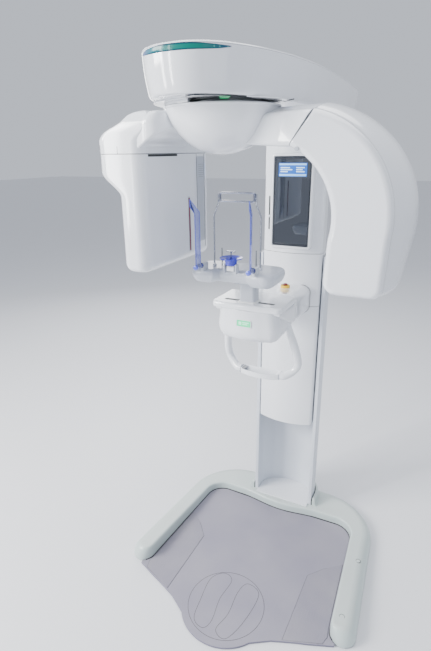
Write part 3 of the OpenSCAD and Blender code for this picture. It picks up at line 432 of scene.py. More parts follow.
def lens_material():
    """Emerald light lens: teal at its left end, navy at its tip and rims, with a row of bright points."""
    material, tree, shader = shader_base("lit emerald lens", SKIN, {
        "Color": (0.002, 0.035, 0.060, 1), "Shade": (0.003, 0.020, 0.060, 1), "Dust": 0.0}, {
        "Emission Strength": 0.7, "Coat Weight": 0.15, "Specular IOR Level": 0.25})
    split = add_node(tree, "ShaderNodeSeparateXYZ", {0: own_place(tree)}).outputs
    hues = add_node(tree, "ShaderNodeValToRGB", {"Fac": remap(tree, split["X"], -0.080, 0.120)})
    stops = ((0.0, (0.45, 0.50, 0.95)), (0.16, (0.10, 0.62, 0.66)), (0.42, (0.0, 0.44, 0.26)),
             (0.72, (0.0, 0.30, 0.18)), (0.90, (0.0, 0.10, 0.13)), (1.0, (0.015, 0.015, 0.13)))
    for number, (where, hue) in enumerate(stops):
        stop = hues.color_ramp.elements[number] if number < 2 else hues.color_ramp.elements.new(where)
        stop.position = where
        stop.color = (*hue, 1)
    # Dark rims along the upper and lower edges, and bright points along the middle
    off = calc(tree, "ABSOLUTE", calc(tree, "SUBTRACT", split["Z"], LENS_MID * MM))
    row = add_node(tree, "ShaderNodeCombineXYZ", {"X": split["X"]})
    cells = add_node(tree, "ShaderNodeTexVoronoi", {"Scale": 150.0, "Vector": row.outputs[0]})
    spark = calc(tree, "MULTIPLY", remap(tree, cells.outputs["Distance"], 0.26, 0.10),
                 remap(tree, off, 0.0022, 0.0008))
    base = blend(tree, remap(tree, off, 0.0062, 0.0028), (0.0, 0.015, 0.045, 1), hues.outputs["Color"])
    feed(tree, shader, {"Emission Color": blend(tree, spark, base, (0.25, 1.0, 0.70, 1))})
    return material


LENS_MID = 1925.2
LENS = lens_material()


# Foot, standing plate and what is marked on it

FOOT_TOP = 46
# Last point of half the foot's plan, and the point at the middle of its tip
FOOT_LAST = 124
TIP_MID = FOOT_LAST // 2


def foot_height(y):
    return FOOT_TOP + 24 * min(1, max(0, (606 - y) / 630))


def foot_half(inner, outer):
    """Half the foot's plan from the middle of its inner edge to the middle of its back, inset on each side."""
    brow = [(i * 7, 630 + inner - 12 * (1 + cos(pi * i * 7 / 216))) for i in range(28)]
    back = [(x, 807 - outer + 30 * (1 + cos(pi * x / 196)))
            for x in [168 * (1 - i / 18) for i in range(19)]]
    tip = arc(448 + (inner - outer) / 2, 78, 48 - (inner + outer) / 2, 183.64, 362.54, 30)
    return brow + arc(285, 545, 85 + inner, 90, 3.64, 18) + tip + arc(200, 545, 262 - outer, 2.54, 90, 27) + back


def foot_shape():
    levels = []
    plain = foot_half(0, 0)
    for inner, outer, share, lift in (
            (3, 5, 0, 0), (0.8, 2, 0, 1.6), (0, 0.8, 0, 5), (0, 0.4, 0.25, 0), (0, 1.6, 0.42, 0), (0.1, 5, 0.58, 0),
            (0.2, 9.6, 0.7, 0), (0.5, 15, 0.79, 0), (1.0, 20, 0.855, 0), (1.8, 25, 0.905, 0), (3.0, 30, 0.943, 0),
            (4.6, 35, 0.969, 0), (6.8, 39.5, 0.986, 0), (9.4, 43.5, 0.996, 0), (12, 47, 1, 0)):
        half = foot_half(inner, outer)
        ring = [(x, y, share * foot_height(plain[min(i, FOOT_LAST - i)][1]) + lift) for i, (x, y) in enumerate(half)]
        levels.append(ring + [(-x, y, z) for x, y, z in ring[-2:0:-1]])
    verts, faces = loft(levels, ends=False)
    n, top = len(levels[0]), (len(levels) - 1) * len(levels[0])
    for base, turn in ((0, 1), (top, -1)):
        for k in range(TIP_MID):
            right = [k, k + 1, FOOT_LAST - k - 1, FOOT_LAST - k]
            left = [(n - i) % n for i in right]
            for quad in (right, left[::-1]):
                quad = list(dict.fromkeys(base + i for i in quad))
                if len(quad) > 2:
                    faces.append(tuple(quad[::turn]))
    return verts, faces


piece("foot_casting", foot_shape(), "base", PALE, ["base_foot"], crease=50)
inner = foot_half(-1.7, -1.7)[:TIP_MID - 6]
backing = foot_half(-0.2, -0.2)[:TIP_MID - 6]
strip_rings = [[(*backing[i], 0.5), (*backing[i], 11), (*inner[i], 11), (*inner[i], 0.5)] for i in range(len(inner))]
piece("foot_gasket", both(loft(strip_rings)), "base", GASKET)
for number, (x, y) in enumerate(((434, 406), (434, 105))):
    top = foot_height(y) + 0.2
    plug = [(0, top), (8.0, top), (8.8, top - 0.4), (9.0, top - 3), (0, top - 3)]
    gap = [(9.1, top - 3), (9.1, top + 0.1), (10.4, top + 0.1), (10.4, top - 3)]
    piece(f"foot_plug_{number}", spun(plug, 32, (x, y)), "base", PALE, crease=60)
    # The black ring in each plug's gap is painted shade
    piece(f"foot_plug_gap_{number}", spun(gap, 32, (x, y)), "base", BLACK)


def plate_outline(d):
    edge = [(215, -62 + d), (257, -45 + d), (300, -28 + d), (340, -14 + d), (428 - d, 21 + d)]
    half = (arc(0, 0, 180 - d, -90, -36, 18) + edge + arc(448, 78, 50 + d, 248, 183.64, 12)
            + arc(285, 545, 83 - d, 3.64, 90, 18))
    front = [(x, 628 - d - 12 * (1 + cos(pi * abs(x) / 216)))
             for x in [162 - i * 9 for i in range(37)]]
    return half + front + [(-x, y) for x, y in half[:0:-1]]


piece("standing_plate", stacked(plate_outline, ((0.6, 0), (0, 0.6), (0, 6.8), (0.4, 7.6), (1.3, 8))), "base", MAT,
      ["floor_plate"], crease=60)
LEFT_SOLE = [(-73, 130), (-27, 111), (-33, 10), (-19, -89), (-37, -131), (-85, -110), (-102, -25), (-111, 78)]
RIGHT_SOLE = [(41, 126), (101, 98), (96, -32), (62, -131), (12, -115), (26, -35), (20, 71)]
RING = arc(0, 0, 152.2, 0, 357, 119)
MARK_WIDTH, PLATE_TOP = 1.6, 8
marks = [ribbon(line, MARK_WIDTH, PLATE_TOP + 0.02, 0.2)
         for line in (RING, through(LEFT_SOLE, 8, closed=True), through(RIGHT_SOLE, 8, closed=True))]
piece("standing_marks", joined(*marks), "base", GROOVE, crease=20)
TREAD_TOP = 9.5
TREAD = [(252, -42), (388, 10), (398, 44), (393, 72), (372, 400), (304, 340), (252, 278)]
TREAD_MID = Vector((330, 170))
tread_rings = [at_z([tuple(Vector(p) + (TREAD_MID - Vector(p)).normalized() * inset) for p in TREAD], z)
               for inset, z in ((0, PLATE_TOP - 0.1), (0, 9.1), (1.0, TREAD_TOP))]
piece("tread_panels", both(loft(tread_rings)), "base", MAT_TREAD, ["side_panels"], crease=30)
tread_edge = [(x + (1.2 if x > TREAD_MID.x else -1.2), y) for x, y in TREAD]
piece("tread_edges", both(ribbon(tread_edge, 1.0, PLATE_TOP + 0.03)), "base", GROOVE)


# Fixed channel behind the moving column

def half_ellipse(half, y0, y1, n=64):
    return [(half * cos(pi * i / n), y0 + (y1 - y0) * sin(pi * i / n)) for i in range(n + 1)]


def channel_outline(out, front, side, back, inside, inside_back):
    outer = [(out, front)] + half_ellipse(out, side, back) + [(-out, front)]
    return outer + [(-inside, front)] + half_ellipse(inside, side, inside_back)[::-1] + [(inside, front)]


CHANNEL_TOP = 1300
screw_hole = arc(0, 828, 19, 360, 12, 29)
piece("column_channel", plate(channel_outline(150, 660, 705, 856, 134, 800), FOOT_TOP, CHANNEL_TOP, [screw_hole]),
      "base", COLUMN, ["fixed_column"], round_edge=2.2)
tray = [(133.5, 638)] + half_ellipse(133.5, 705, 799.5) + [(-133.5, 638)]
piece("root_tray", plate(tray, FOOT_TOP, 51), "base", WHITE, ["column_trim"], round_edge=1.5)
COLLAR = ((-9, 46.2), (-6.5, 48.5), (-4, 52), (-2, 57), (0, 65), (0.6, 73), (1.6, 78), (3.2, 82), (5.6, 84.8),
          (8.4, 86))


def collar_outline(d):
    return channel_outline(169 - d, 660 + max(0, d), 705, 863 - max(-3, min(d, 3)), 155, 857)


piece("root_collar", stacked(collar_outline, COLLAR), "base", PALE, crease=45)
# Black plate in the gap between collar and channel: painted shade
piece("root_collar_gap", plate(channel_outline(154.8, 661, 705, 856.8, 150.2, 856.2), 46.2, 80), "base", BLACK)


# Covers of the moving column

BOW_R, BOW_Y, EDGE_R, COL_HALF = 288, 908, 18, 128
CORNER_Y = BOW_Y - sqrt((BOW_R - EDGE_R) ** 2 - (COL_HALF - EDGE_R) ** 2)
EDGE_A = degrees(acos((COL_HALF - EDGE_R) / (BOW_R - EDGE_R)))


def cover_path(d):
    """Open path from the left back edge round the bowed front to the right back edge."""
    return ([(-COL_HALF + d, 700)] + arc(-COL_HALF + EDGE_R, CORNER_Y, EDGE_R - d, 180, 180 + EDGE_A, 14)
            + arc(0, BOW_Y, BOW_R - d, 180 + EDGE_A, 360 - EDGE_A, 44)
            + arc(COL_HALF - EDGE_R, CORNER_Y, EDGE_R - d, 360 - EDGE_A, 360, 14) + [(COL_HALF - d, 700)])


def bow_front(x):
    return BOW_Y - sqrt(BOW_R ** 2 - x ** 2)


def cover_rim(z, up):
    """Cover whose end edge is rounded over; up is +1 for a top edge and -1 for a bottom edge."""
    return [at_z(cover_path(d) + cover_path(3)[::-1], z - up * h) for d, h in ((0, 1.2), (0.35, 0.35), (1.2, 0))]


def moving_cover(name, z0, z1, node, extra=()):
    low, high = cover_rim(z0, -1)[::-1], cover_rim(z1, 1)
    casing(name, joined(loft(low + high), *extra), "carriage", node, crease=40)


bottom = plate(cover_path(3), 505, 508, [[(92.3, 668), (92.3, 699), (-92.3, 699), (-92.3, 668)]])
moving_cover("lower_column_cover", 505, 1086.5, "cover_lower", [bottom])
moving_cover("middle_column_cover", 1088, 1312.5, "cover_middle")
moving_cover("upper_column_cover", 1314, 1834, "cover_upper")
rear_outline = ([(128, 700.3)] + half_ellipse(128, 720, 840) + [(-128, 700.3), (-125, 700.3)]
                + half_ellipse(125, 720, 837)[::-1] + [(125, 700.3)])
casing("rear_column_cover", plate(rear_outline, 1668, 1834), "carriage", "cover_rear", 35, 0.8)
for number, z in enumerate((1087.25, 1313.25)):
    shadow = plate(cover_path(2.2) + cover_path(2.9)[::-1], z - 1.6, z + 1.6)
    piece(f"seam_shadow_{number}", shadow, "carriage", BLACK)


# Mirror, screen and lever

def upright(outline, y0, y1, holes=()):
    """Plate drawn in X and Z, reaching from y0 back to y1."""
    return tilted(plate(outline, -y1, -y0, holes), FACING_FRONT)


def frame_rings(steps, r):
    """Closed band round an opening: each step gives its half width, bottom, top and depth."""
    return [at_y(rounded(-half, half, low, high, r + half - steps[0][0], 8), y) for half, low, high, y in steps]


surround = frame_rings([(77, 1343, 1694, 622), (77, 1343, 1694, 614.6), (77.8, 1342.2, 1694.8, 613.6),
                        (79.5, 1340.5, 1696.5, 613.2), (84, 1336, 1701, 613.6), (87, 1333, 1704, 615.2),
                        (88.6, 1331.4, 1705.6, 618), (89.2, 1330.8, 1706.2, 640), (80, 1340, 1697, 640)], 4)
piece("mirror_surround", loft(surround, loop=True), "carriage", WHITE, crease=40)
bezel = frame_rings([(70, 1353.5, 1683.5, 622), (70, 1353.5, 1683.5, 615.6), (70.8, 1352.7, 1684.3, 614.9),
                     (76.6, 1343.6, 1693.4, 614.9), (76.8, 1343.4, 1693.6, 636.8), (70.4, 1353.1, 1683.9, 636.8)], 3)
piece("mirror_frame", loft(bezel, loop=True), "carriage", GLOSS_FRAME_AND_SHADE, ["mirror_bezel"], crease=40)
hole = [(-58, 1617), (-58, 1669), (58, 1669), (58, 1617)]
piece("mirror_pane", upright(rounded(-70.2, 70.2, 1353.2, 1683.8, 3, 4), 616.4, 620, [hole]), "carriage", MIRROR,
      ["mirror_glass"])
piece("screen", upright(rounded(-57.6, 57.6, 1617.4, 1668.6, 1.5, 3), 616.2, 624), "carriage", SCREEN,
      ["status_display"], round_edge=0.4)


def bar(x0, x1, z0, z1, y=616.0):
    return upright(rounded(x0, x1, z0, z1, 1.0, 2), y - 0.25, y + 0.3)


piece("screen_bands", joined(bar(-55, 55, 1660, 1666.5), bar(-55, 55, 1619.5, 1627)), "carriage", SCREEN_BAND)
piece("screen_bars", joined(bar(-50, -12, 1649, 1653), bar(-50, -2, 1641.5, 1645.5), bar(-50, -20, 1634, 1638),
                            bar(14, 48, 1649, 1653), bar(14, 40, 1641.5, 1645.5), bar(14, 48, 1634, 1638)),
      "carriage", SCREEN_BAR)


def on_bow(outline, proud, thick):
    """Flat outline in X and Z wrapped on the bowed front, standing proud of it."""
    front = [(x, bow_front(x) - proud, z) for x, z in outline]
    return loft([front, [(x, y + thick, z) for x, y, z in front]])


piece("lever_slot_rim", on_bow(rounded(-106.5, -95.5, 1400.5, 1543.5, 5.4, 8), 0.3, 3), "carriage", GRIP_WHITE,
      round_edge=0.2)
# Black inside the lever slot: painted shade
piece("lever_slot", on_bow(rounded(-104.5, -97.5, 1403, 1541, 3.4, 8), 0.7, 3), "carriage", BLACK)
LEVER_AT = (-101, 625, 1459)
knob = [(0, 0), (4.6, 0), (5.6, -0.5), (6, -1.4), (6, -8.4), (5.4, -9), (2.7, -9), (2.7, -26), (0, -26)]
casing("lever_knob", tilted(spun(knob, 40), FACING_FRONT, LEVER_AT), "lever", "lever_knob", crease=40)


# Overhead beam

def power(v, e):
    return copysign(abs(v) ** e, v)


def nose_point(d, angle):
    a = radians(angle)
    return ((208 - d) * power(cos(a), 0.86), 300 + (566 - d) * power(sin(a), 0.86))


BEAM_Z = 1835


def beam_outline(d):
    tail = arc(140, 817, 45 - d, 0, 90, 12) + arc(-140, 817, 45 - d, 90, 180, 12)
    return ([nose_point(d, 180 + 2 * i) for i in range(91)] + [(204 - d, 480), (199.6 - d, 590), (194 - d, 680)]
            + tail + [(-194 + d, 680), (-199.6 + d, 590), (-204 + d, 480)])


def beam_skin(steps, loop=False):
    return stacked(beam_outline, [(d, BEAM_Z + z) for d, z in steps], loop)


HOUSING = ((20, 0), (18.2, 0.2), (16.4, 0.9), (14.6, 2.2), (13.2, 4.2), (12.2, 7), (11.2, 11), (9.6, 18), (7.8, 27),
           (5.8, 38), (3.8, 50), (2.2, 64), (0.9, 80), (0.2, 92), (0.1, 96), (0.4, 96.9), (3.2, 97.1), (4, 80),
           (6.2, 50), (11, 27), (15.6, 9), (20, 4))
belly = plate(beam_outline(19.9), BEAM_Z, BEAM_Z + 4,
              [arc(0, 0, 132, 360, 4, 89), [(93, 667), (93, 766), (-93, 766), (-93, 667)]])
casing("beam_housing", joined(beam_skin(HOUSING, True), belly), "carriage", "beam_housing")
CROWN = ((3, 97.6), (0.4, 97.7), (0.1, 98.1), (0.3, 98.9), (1.0, 99.9), (2.2, 100.9), (4.4, 101.8), (8, 102.8),
         (12.5, 103.8), (17.5, 104.7), (22.5, 105.4), (28, 105.9), (36, 106.2))
casing("beam_top_cover", beam_skin(CROWN), "carriage", "beam_top_cover")
piece("beam_seam_shadow", beam_skin(((3.4, 96), (1.0, 96), (1.0, 98.6), (3.4, 98.6)), True), "carriage", VENT)


# The light lens along the nose: angle on the nose, lower edge and upper edge
LENS_LINE = [(246, 1923, 1926), (252, 1920, 1929.6), (259, 1918.4, 1931), (267, 1918, 1932.2), (275, 1918, 1932.6),
             (283, 1918.6, 1932.2), (290, 1919.6, 1930.8), (295.5, 1921.6, 1929.6), (299.6, 1924.8, 1928.8),
             (301.4, 1927.2, 1927.9)]


def lens_rings():
    rings = []
    for angle, low, high in through(LENS_LINE, 8):
        ring = []
        for turn in range(9):
            a = radians(-90 + 180 * turn / 8)
            z = lerp(low, high, (1 + sin(a)) / 2)
            slope = 3 * (1932 - z) / 47
            ring.append((*nose_point(slope - 1.6 * cos(a) + 0.1, angle), z))
        rings.append(ring)
    return rings


piece("beam_light", loft(lens_rings()), "carriage", LENS, ["led_lens"], crease=60)


# Hub under the beam

def ring_segment(r0, r1, z0, z1, a0, a1, n):
    outer, inside = arc(0, 0, r1, a0, a1, n), arc(0, 0, r0, a0, a1, n)
    return plate(outer + inside[::-1], z0, z1)


piece("hub_ring", plate(arc(0, 0, 184, 0, 357, 119), 1832.4, 1835.2, [arc(0, 0, 132, 357, 0, 119)]), "carriage",
      WHITE, ["hub_trim"], round_edge=0.8)
piece("hub_gap_wall", ring_segment(147, 157.4, 1827.2, 1832.6, 100, 263, 56), "carriage", WHITE, round_edge=0.4)
# Dark gloss sheet on the beam's underside, widest in front and to the right of the bowl: painted shade where the
# underside lies in shadow
underside_shade_edge = ([(-10, -158), (-8, -186), (10, -214), (34, -232)] + [nose_point(21, 281 + 4 * i) for i in range(14)]
               + [(205, -12), (190, 10), (160, 30), (146, 36)])
piece("hub_window", plate(underside_shade_edge + arc(0, 0, 140, 12, -96, 40), 1831.6, 1834.8), "carriage", GLOSS_FRAME_AND_SHADE,
      round_edge=0.5)
piece("hub_window_light", ring_segment(150, 206, 1831.1, 1832.0, -66, -58.6, 12), "carriage", GREEN_GLOW,
      round_edge=0.2)


HUB_Z = 1865
RIM_A = -degrees(asin(45 / 162))
bowl = ([(0, 1703)] + arc(0, HUB_Z, 162, -88, RIM_A, 30) + [(157.2, 1821), (158.3, 1822.2), (158.6, 1824.4),
        (157.9, 1826), (155.8, 1826.4), (154.2, 1825.2)] + arc(0, HUB_Z, 159, RIM_A, -88, 30) + [(0, 1706)])
casing("hub_bowl_shell", spun(bowl, 144), "gantry", "hub_bowl", crease=35)


# X-ray arm: a crescent with a rounded front and a swelling back

# Middle of the arm's outer curve
ARM_X, ARM_Z = 235, 1550


def crescent(d, g, fine=3):
    """Arm's outline in X and Z, inset by d and swollen outwards by g."""
    low_x = ARM_X + (248 + g) * cos(radians(-8))
    top = 79 - g / 40
    outer = []
    for i in range(16 * fine + 1):
        a = top - (top + 8) * i / (16 * fine)
        rise = (258 + 0.5 * g if a > 0 else lerp(248 + g, 258 + 0.5 * g, ease((a + 8) / 8))) - d
        outer.append((ARM_X + (248 + g - d) * cos(radians(a)), ARM_Z + rise * sin(radians(a))))
    return (outer + arc(low_x - 34 - g * 0.4, 1396, 30 - d, -15, -90, 4 * fine)
            + arc(362, 1400, 34 - d, -90, -180, 5 * fine) + arc(150, ARM_Z, 188 + d, -14, 66 - d / 17, 12 * fine))


def shaped(stations, per_side=6):
    """Crescent rings through stations of (depth, inset, swell)."""
    return [at_y(crescent(max(d, 0), g), y) for y, d, g in through(stations, per_side)]


def quarter(n, size, y0, depth):
    """Stations of a rounded front edge: inset falls from size to nothing over the depth."""
    return [(y0 + depth * (1 - cos(pi / 2 * i / n)), size * (1 - sin(pi / 2 * i / n)), 0)
            for i in range(n + 1)]


front = [at_y(crescent(d, g), y) for y, d, g in quarter(9, 17, -110, 17.4) + [(-91.9, 0, 0), (-91.6, 0.4, 0)]]
casing("source_front_cover", loft(front), "gantry", "source_front_cover")
SWELL = [(-90, 0.0, 0.6), (-83, 0, 4.4), (-55, 0, 22), (-20, 0, 36), (20, 0, 40), (50, 0, 38), (74, 0.8, 34.5),
         (90, 3, 31), (99, 7.6, 29.6), (104.5, 14, 28.6), (107.2, 20, 27.4), (108, 26, 26)]
rear = [at_y(crescent(0.5, 0), -90.2)] + shaped(SWELL, 4)
casing("source_rear_cover", loft(rear), "gantry", "source_rear_cover")
piece("source_seam_shadow", loft([at_y(crescent(2.0, 0), y) for y in (-93, -88)]), "gantry", BLACK)
inner_face = [p for p in crescent(0, 0, 4) if p[0] < 345 and 1397 < p[1] < 1575]
window = loft([at_y(inner_face, y) for y in (-38, 38)], ends=False)[0]
count = len(inner_face)
sheet = [(x - t, y, z) for t in (0.9, -2) for x, y, z in window]


def window_faces(count):
    quads = [(i, i + 1, count + i + 1, count + i) for i in range(count - 1)]
    back = [tuple(2 * count + k for k in reversed(q)) for q in quads]
    rim = list(range(count)) + list(range(2 * count - 1, count - 1, -1))
    return quads + back + [(rim[i], rim[i - 1], 2 * count + rim[i - 1], 2 * count + rim[i]) for i in range(len(rim))]


piece("source_beam_window", (sheet, window_faces(count)), "gantry", VENT, round_edge=0.5)
piece("source_seam_plug", tilted(spun([(0, 0), (4.6, 0), (5.2, 0.5), (5.4, 3), (0, 3)], 28),
                                 Matrix.Rotation(radians(-90), 3, "X"), (248, -110.8, 1716)), "gantry", VENT)


# Shoulders from the bowl to the arms

def arm_end():
    """Outline of the arm's open end: over the top from front to back, then under it to the front."""
    rings = [at_y(crescent(max(d, 0), g), y) for y, d, g in quarter(9, 17, -110, 17.4) + through(SWELL, 4)]
    return [ring[0] for ring in rings] + [ring[-1] for ring in reversed(rings)]


END = arm_end()
# Stations from the bowl outwards: x low and high, front edge low and high, and back edge
RIGHT = [(52, 52, -34, -12, 56), (75, 80, -36, -12, 58), (100, 108, -40, -14, 66), (142, 156, -58, -24, 82),
         (186, 214, -88, -60, 98), (231, 290, -110, -110, 108)]


def right_rings():
    rings = []
    stations = through(RIGHT, 6)
    for i, (x0, x1, low, high, back) in enumerate(stations):
        ring = []
        for x, y, z in END:
            level = lerp(min(1818, max(1731, z)), z, ease(i / (len(stations) - 1)))
            up = (level - 1731) / 87
            front = lerp(low, high, max(0, (up - 0.72) / 0.28) ** 1.6)
            ring.append((x0 + (x1 - x0) * up - 0.2, lerp(front, back, (y + 110) / 218), level))
        rings.append(ring)
    return rings


casing("right_shoulder", loft(right_rings()), "gantry", "shoulder_right")
# Stations inwards from the detector arm: x, front, back, underside and top
LEFT = [(-196, -130, 104, 1722, 1788), (-182, -133, 106, 1730, 1804), (-166, -134.4, 107, 1740, 1813),
        (-150, -132, 106, 1749, 1817), (-138, -126.5, 103, 1757, 1817.8), (-127, -116, 98, 1764, 1817.8),
        (-117, -101, 90, 1771, 1817.8), (-109, -82, 82, 1777, 1817.8), (-100, -61, 74, 1780, 1817.8),
        (-48, -32, 56, 1765, 1817.8)]


def humped(y0, y1, z0, z1):
    """Section rounded far over its upper edges and a little under its lower ones."""
    return (arc(y1 - 24, z1 - 30, 24, 0, 90, 10, 30) + arc(y0 + 24, z1 - 30, 24, 90, 180, 10, 30)
            + arc(y0 + 7, z0 + 7, 7, 180, 270, 6) + arc(y1 - 7, z0 + 7, 7, 270, 360, 6))


left_rings = [at_x(humped(y0, y1, z0, z1), x) for x, y0, y1, z0, z1 in through(LEFT, 4)]
casing("left_shoulder", loft(left_rings), "gantry", "shoulder_left")


# Detector arm: a box whose upper end steps outwards to the shoulder

# Inner face, outer face of the lower part and of the upper part
FACE_X, LOW_X, HIGH_X = -185, -276, -338


def det_x(z):
    return lerp(LOW_X, HIGH_X, ease((z - 1590) / 70))


def det_ring(x0, x1, z, d, r=34):
    return at_z(rounded(x0 + d, x1 - d, -136 + d, 270 - d, max(1.5, r - d), 10), z)


lower = [det_ring(LOW_X, FACE_X, z, d, 34 + 6 * ease(d / 26))
         for z, d in ((1372, 26), (1372.3, 22), (1373.4, 17), (1375.6, 12), (1378.6, 8), (1382.6, 4.6), (1387, 2.2),
                      (1392, 0.7), (1397, 0))]
lower += [det_ring(det_x(z), FACE_X, z, 0) for z in [1480, 1560, 1586] + [1590 + 3.5 * i for i in range(1, 21)]]
lower += [det_ring(HIGH_X, FACE_X, z, d) for z, d in ((1685, 0), (1707.4, 0), (1708.3, 0.4), (1708.5, 1.2))]
casing("detector_lower_cover", loft(lower), "gantry", "detector_lower_cover")
CAP = [(-338, -185, 1710, 1.2, 34), (-338, -185, 1710.3, 0.4, 34), (-338, -185, 1711.2, 0, 34),
       (-338, -185, 1728, 0, 34), (-338, -180, 1748, 0, 34), (-312, -162, 1767, 0, 24), (-262, -152, 1788, 3, 18),
       (-238, -152, 1806, 10, 12), (-226, -152, 1814, 16.5, 8), (-212, -152, 1818, 24, 5)]
cap = [det_ring(x0, x1, z, max(0, d), r) for x0, x1, z, d, r in CAP[:3] + through(CAP[3:], 6)]
casing("detector_upper_cover", loft(cap), "gantry", "detector_upper_cover")
piece("detector_seam_shadow", loft([det_ring(HIGH_X, FACE_X, z, 2.4) for z in (1706, 1712.5)]), "gantry", BLACK)


def on_face(y0, y1, z0, z1, proud=0.5, thick=2, r=1.2):
    """Small plate on the detector arm's inner face."""
    return loft([at_x(rounded(y0, y1, z0, z1, r, 4), FACE_X + proud - t) for t in (0, thick)])


# Black strip along the seam on the inner face: painted shade
piece("seam_gap", on_face(-98, 58, 1701.5, 1708, 0.4), "gantry", BLACK)
piece("slit_window_pane", on_face(117, 127, 1400, 1573, 0.6, 7), "gantry", SLIT, ["slit_window"],
      round_edge=0.4)
piece("slit_frame", loft([at_x(rounded(122 - h, 122 + h, 1487 - v, 1487 + v, 2.5, 4), x)
                          for h, v, x in ((5.2, 87.1, -186), (5.2, 87.1, -184.5), (5.8, 88, -184.2),
                                          (7.0, 89.6, -184.6), (7.2, 90, -186))], loop=True), "gantry", VENT)
piece("vent_strip", on_face(178, 226, 1420, 1700, 0.35, 2, 5), "gantry", VENT, round_edge=0.2)
piece("strip_seam", joined(on_face(175.4, 177.4, 1398, 1706, 0.35), on_face(226.6, 228.6, 1398, 1706, 0.35)),
      "gantry", GROOVE)
piece("vent_slots", joined(*[on_face(188, 222, 1634 + 6.5 * i, 1636 + 6.5 * i, 0.5) for i in range(7)]), "gantry",
      LEAD_GREY)
piece("upper_cover_line", loft([at_y(rounded(-261.2, -259.8, 1709, 1730, 0.5, 2), y) for y in (-136.3, -134)]),
      "gantry", GROOVE)


# Patient support in front of the column

def bracket_ring(y, half, z0, z1, d=0.0):
    return at_y(rounded(-half + d, half - d, z0 + d, z1 - d, min(half, (z1 - z0) / 2) * 0.55, 12), y)


# Cheeks beside the panel, then the bracket itself: y, half width, bottom and top
CHEEKS = [(178, 119, 1189.6, 1199.4), (180, 121, 1186.6, 1199.4), (330, 121, 1101.4, 1199.4)]
ARM = [(330.5, 121, 1101, 1216), (360, 118.6, 1095, 1213), (400, 112, 1088, 1206), (500, 102, 1074, 1190),
       (600, 94, 1062, 1182), (655, 89, 1057, 1180)]
casing("support_bracket", joined(loft([bracket_ring(*row) for row in CHEEKS]),
                                loft([bracket_ring(*row) for row in through(ARM, 6)])), "carriage", "support_arm")


def root_joint_shade():
    """Thin black line of painted shade where the bracket meets the bowed column cover."""
    rings = []
    for out, back in ((0.2, 12), (0.2, 0), (1.6, 0), (1.6, 12)):
        ring = rounded(-92 - out, 92 + out, 1058 - out, 1181 + out, 34 + out, 12)
        rings.append([(x, bow_front(x) - 0.5 + back, z) for x, z in ring])
    return loft(rings, loop=True)


piece("bracket_gasket", root_joint_shade(), "carriage", BLACK)


def body_ring(z, d, half, r, bow, rear):
    """Plan of the support body: square behind, bowed and rounded in front."""
    r = max(r, d + 1)
    left = arc(-half + r, 152 + bow + r, r - d, 180, 262, 10)
    face = [(t * (half - r), 152 + d + bow * t * t) for t in [i / 12 for i in range(-10, 11)]]
    right = arc(half - r, 152 + bow + r, r - d, 278, 360, 10)
    return at_z([(half - d, rear - d), (-half + d, rear - d)] + left + face + right, z)


panel = [(1080, 34), (1080.4, 29), (1081.8, 24.5), (1084.4, 20), (1088, 15.6), (1093, 11.4), (1100, 7.4),
         (1109, 4), (1120, 1.6), (1132, 0.4), (1145, 0), (1170, 0), (1198, 0), (1199, 0.8)]
casing("support_panel_shell", loft([body_ring(z, d, 112 + 8 * ease((1199 - z) / 80), 46, 12, 272) for z, d in panel]),
      "carriage", "support_panel")
lid = [(1200, 5), (1200, 2.2), (1201, 1.0), (1204, 0.3), (1209, 0), (1212.5, 0.2), (1215.4, 1.0), (1217.6, 2.4),
       (1219.2, 4.6), (1220, 7.6)]
casing("support_lid_shell", loft([body_ring(z, d, 130, 22, 6, 330) for z, d in lid]), "carriage", "support_lid")
# Black in the lid's slots: painted shade
piece("lid_slots", both(plate(rounded(34, 94, 192, 208, 5, 8), 1217, 1220.2)), "carriage", BLACK)
piece("lid_slot_rims", both(loft([at_z(rounded(34 - d, 94 + d, 192 - d, 208 + d, 5 + d, 8), z)
                                  for d, z in ((0, 1219.6), (0, 1220.3), (1.4, 1220.28), (2.4, 1219.6))], loop=True)),
      "carriage", WHITE)
piece("sign_pane", upright(rounded(-25.8, 25.8, 1142.2, 1164.8, 3, 6), 151.6, 159), "carriage", SIGN, ["sign_lens"],
      round_edge=0.8)
piece("sign_bars", joined(bar(-19, -9, 1148, 1159, 151.5), bar(-5, 19, 1155.5, 1159, 151.5),
                          bar(-5, 14, 1149, 1152.5, 151.5)), "carriage", SIGN_BAR)
piece("sign_frame", loft([at_y(rounded(-25.8 - d, 25.8 + d, 1142.2 - d, 1164.8 + d, 3 + d, 6), y)
                          for d, y in ((0.1, 158), (0.1, 151.2), (1.4, 150.8), (2.4, 151.4), (2.6, 158))], loop=True),
      "carriage", GRIP_WHITE)
STOP_AT = (12, 545)
collar = [(6.1, 1189.6), (6.1, 1187), (9.2, 1186), (17.4, 1182), (18.4, 1183), (19, 1189), (18.8, 1194.6),
          (18, 1196.4), (16.4, 1196.8), (15, 1195.8), (13, 1189.6)]
piece("stop_collar", spun(collar + [collar[0]], 64, STOP_AT), "carriage", YELLOW, ["stop_base"],
      crease=50)
button = [(0, 1156), (5.9, 1156), (5.9, 1195), (8.0, 1195.4), (9.4, 1196.6), (9.6, 1198.6), (9, 1201),
          (7.2, 1202.8), (4.6, 1203.6), (0, 1203.8)]
piece("stop_cap", spun(button, 64, STOP_AT), "stop", STOP_RED, ["stop_button"], crease=50)


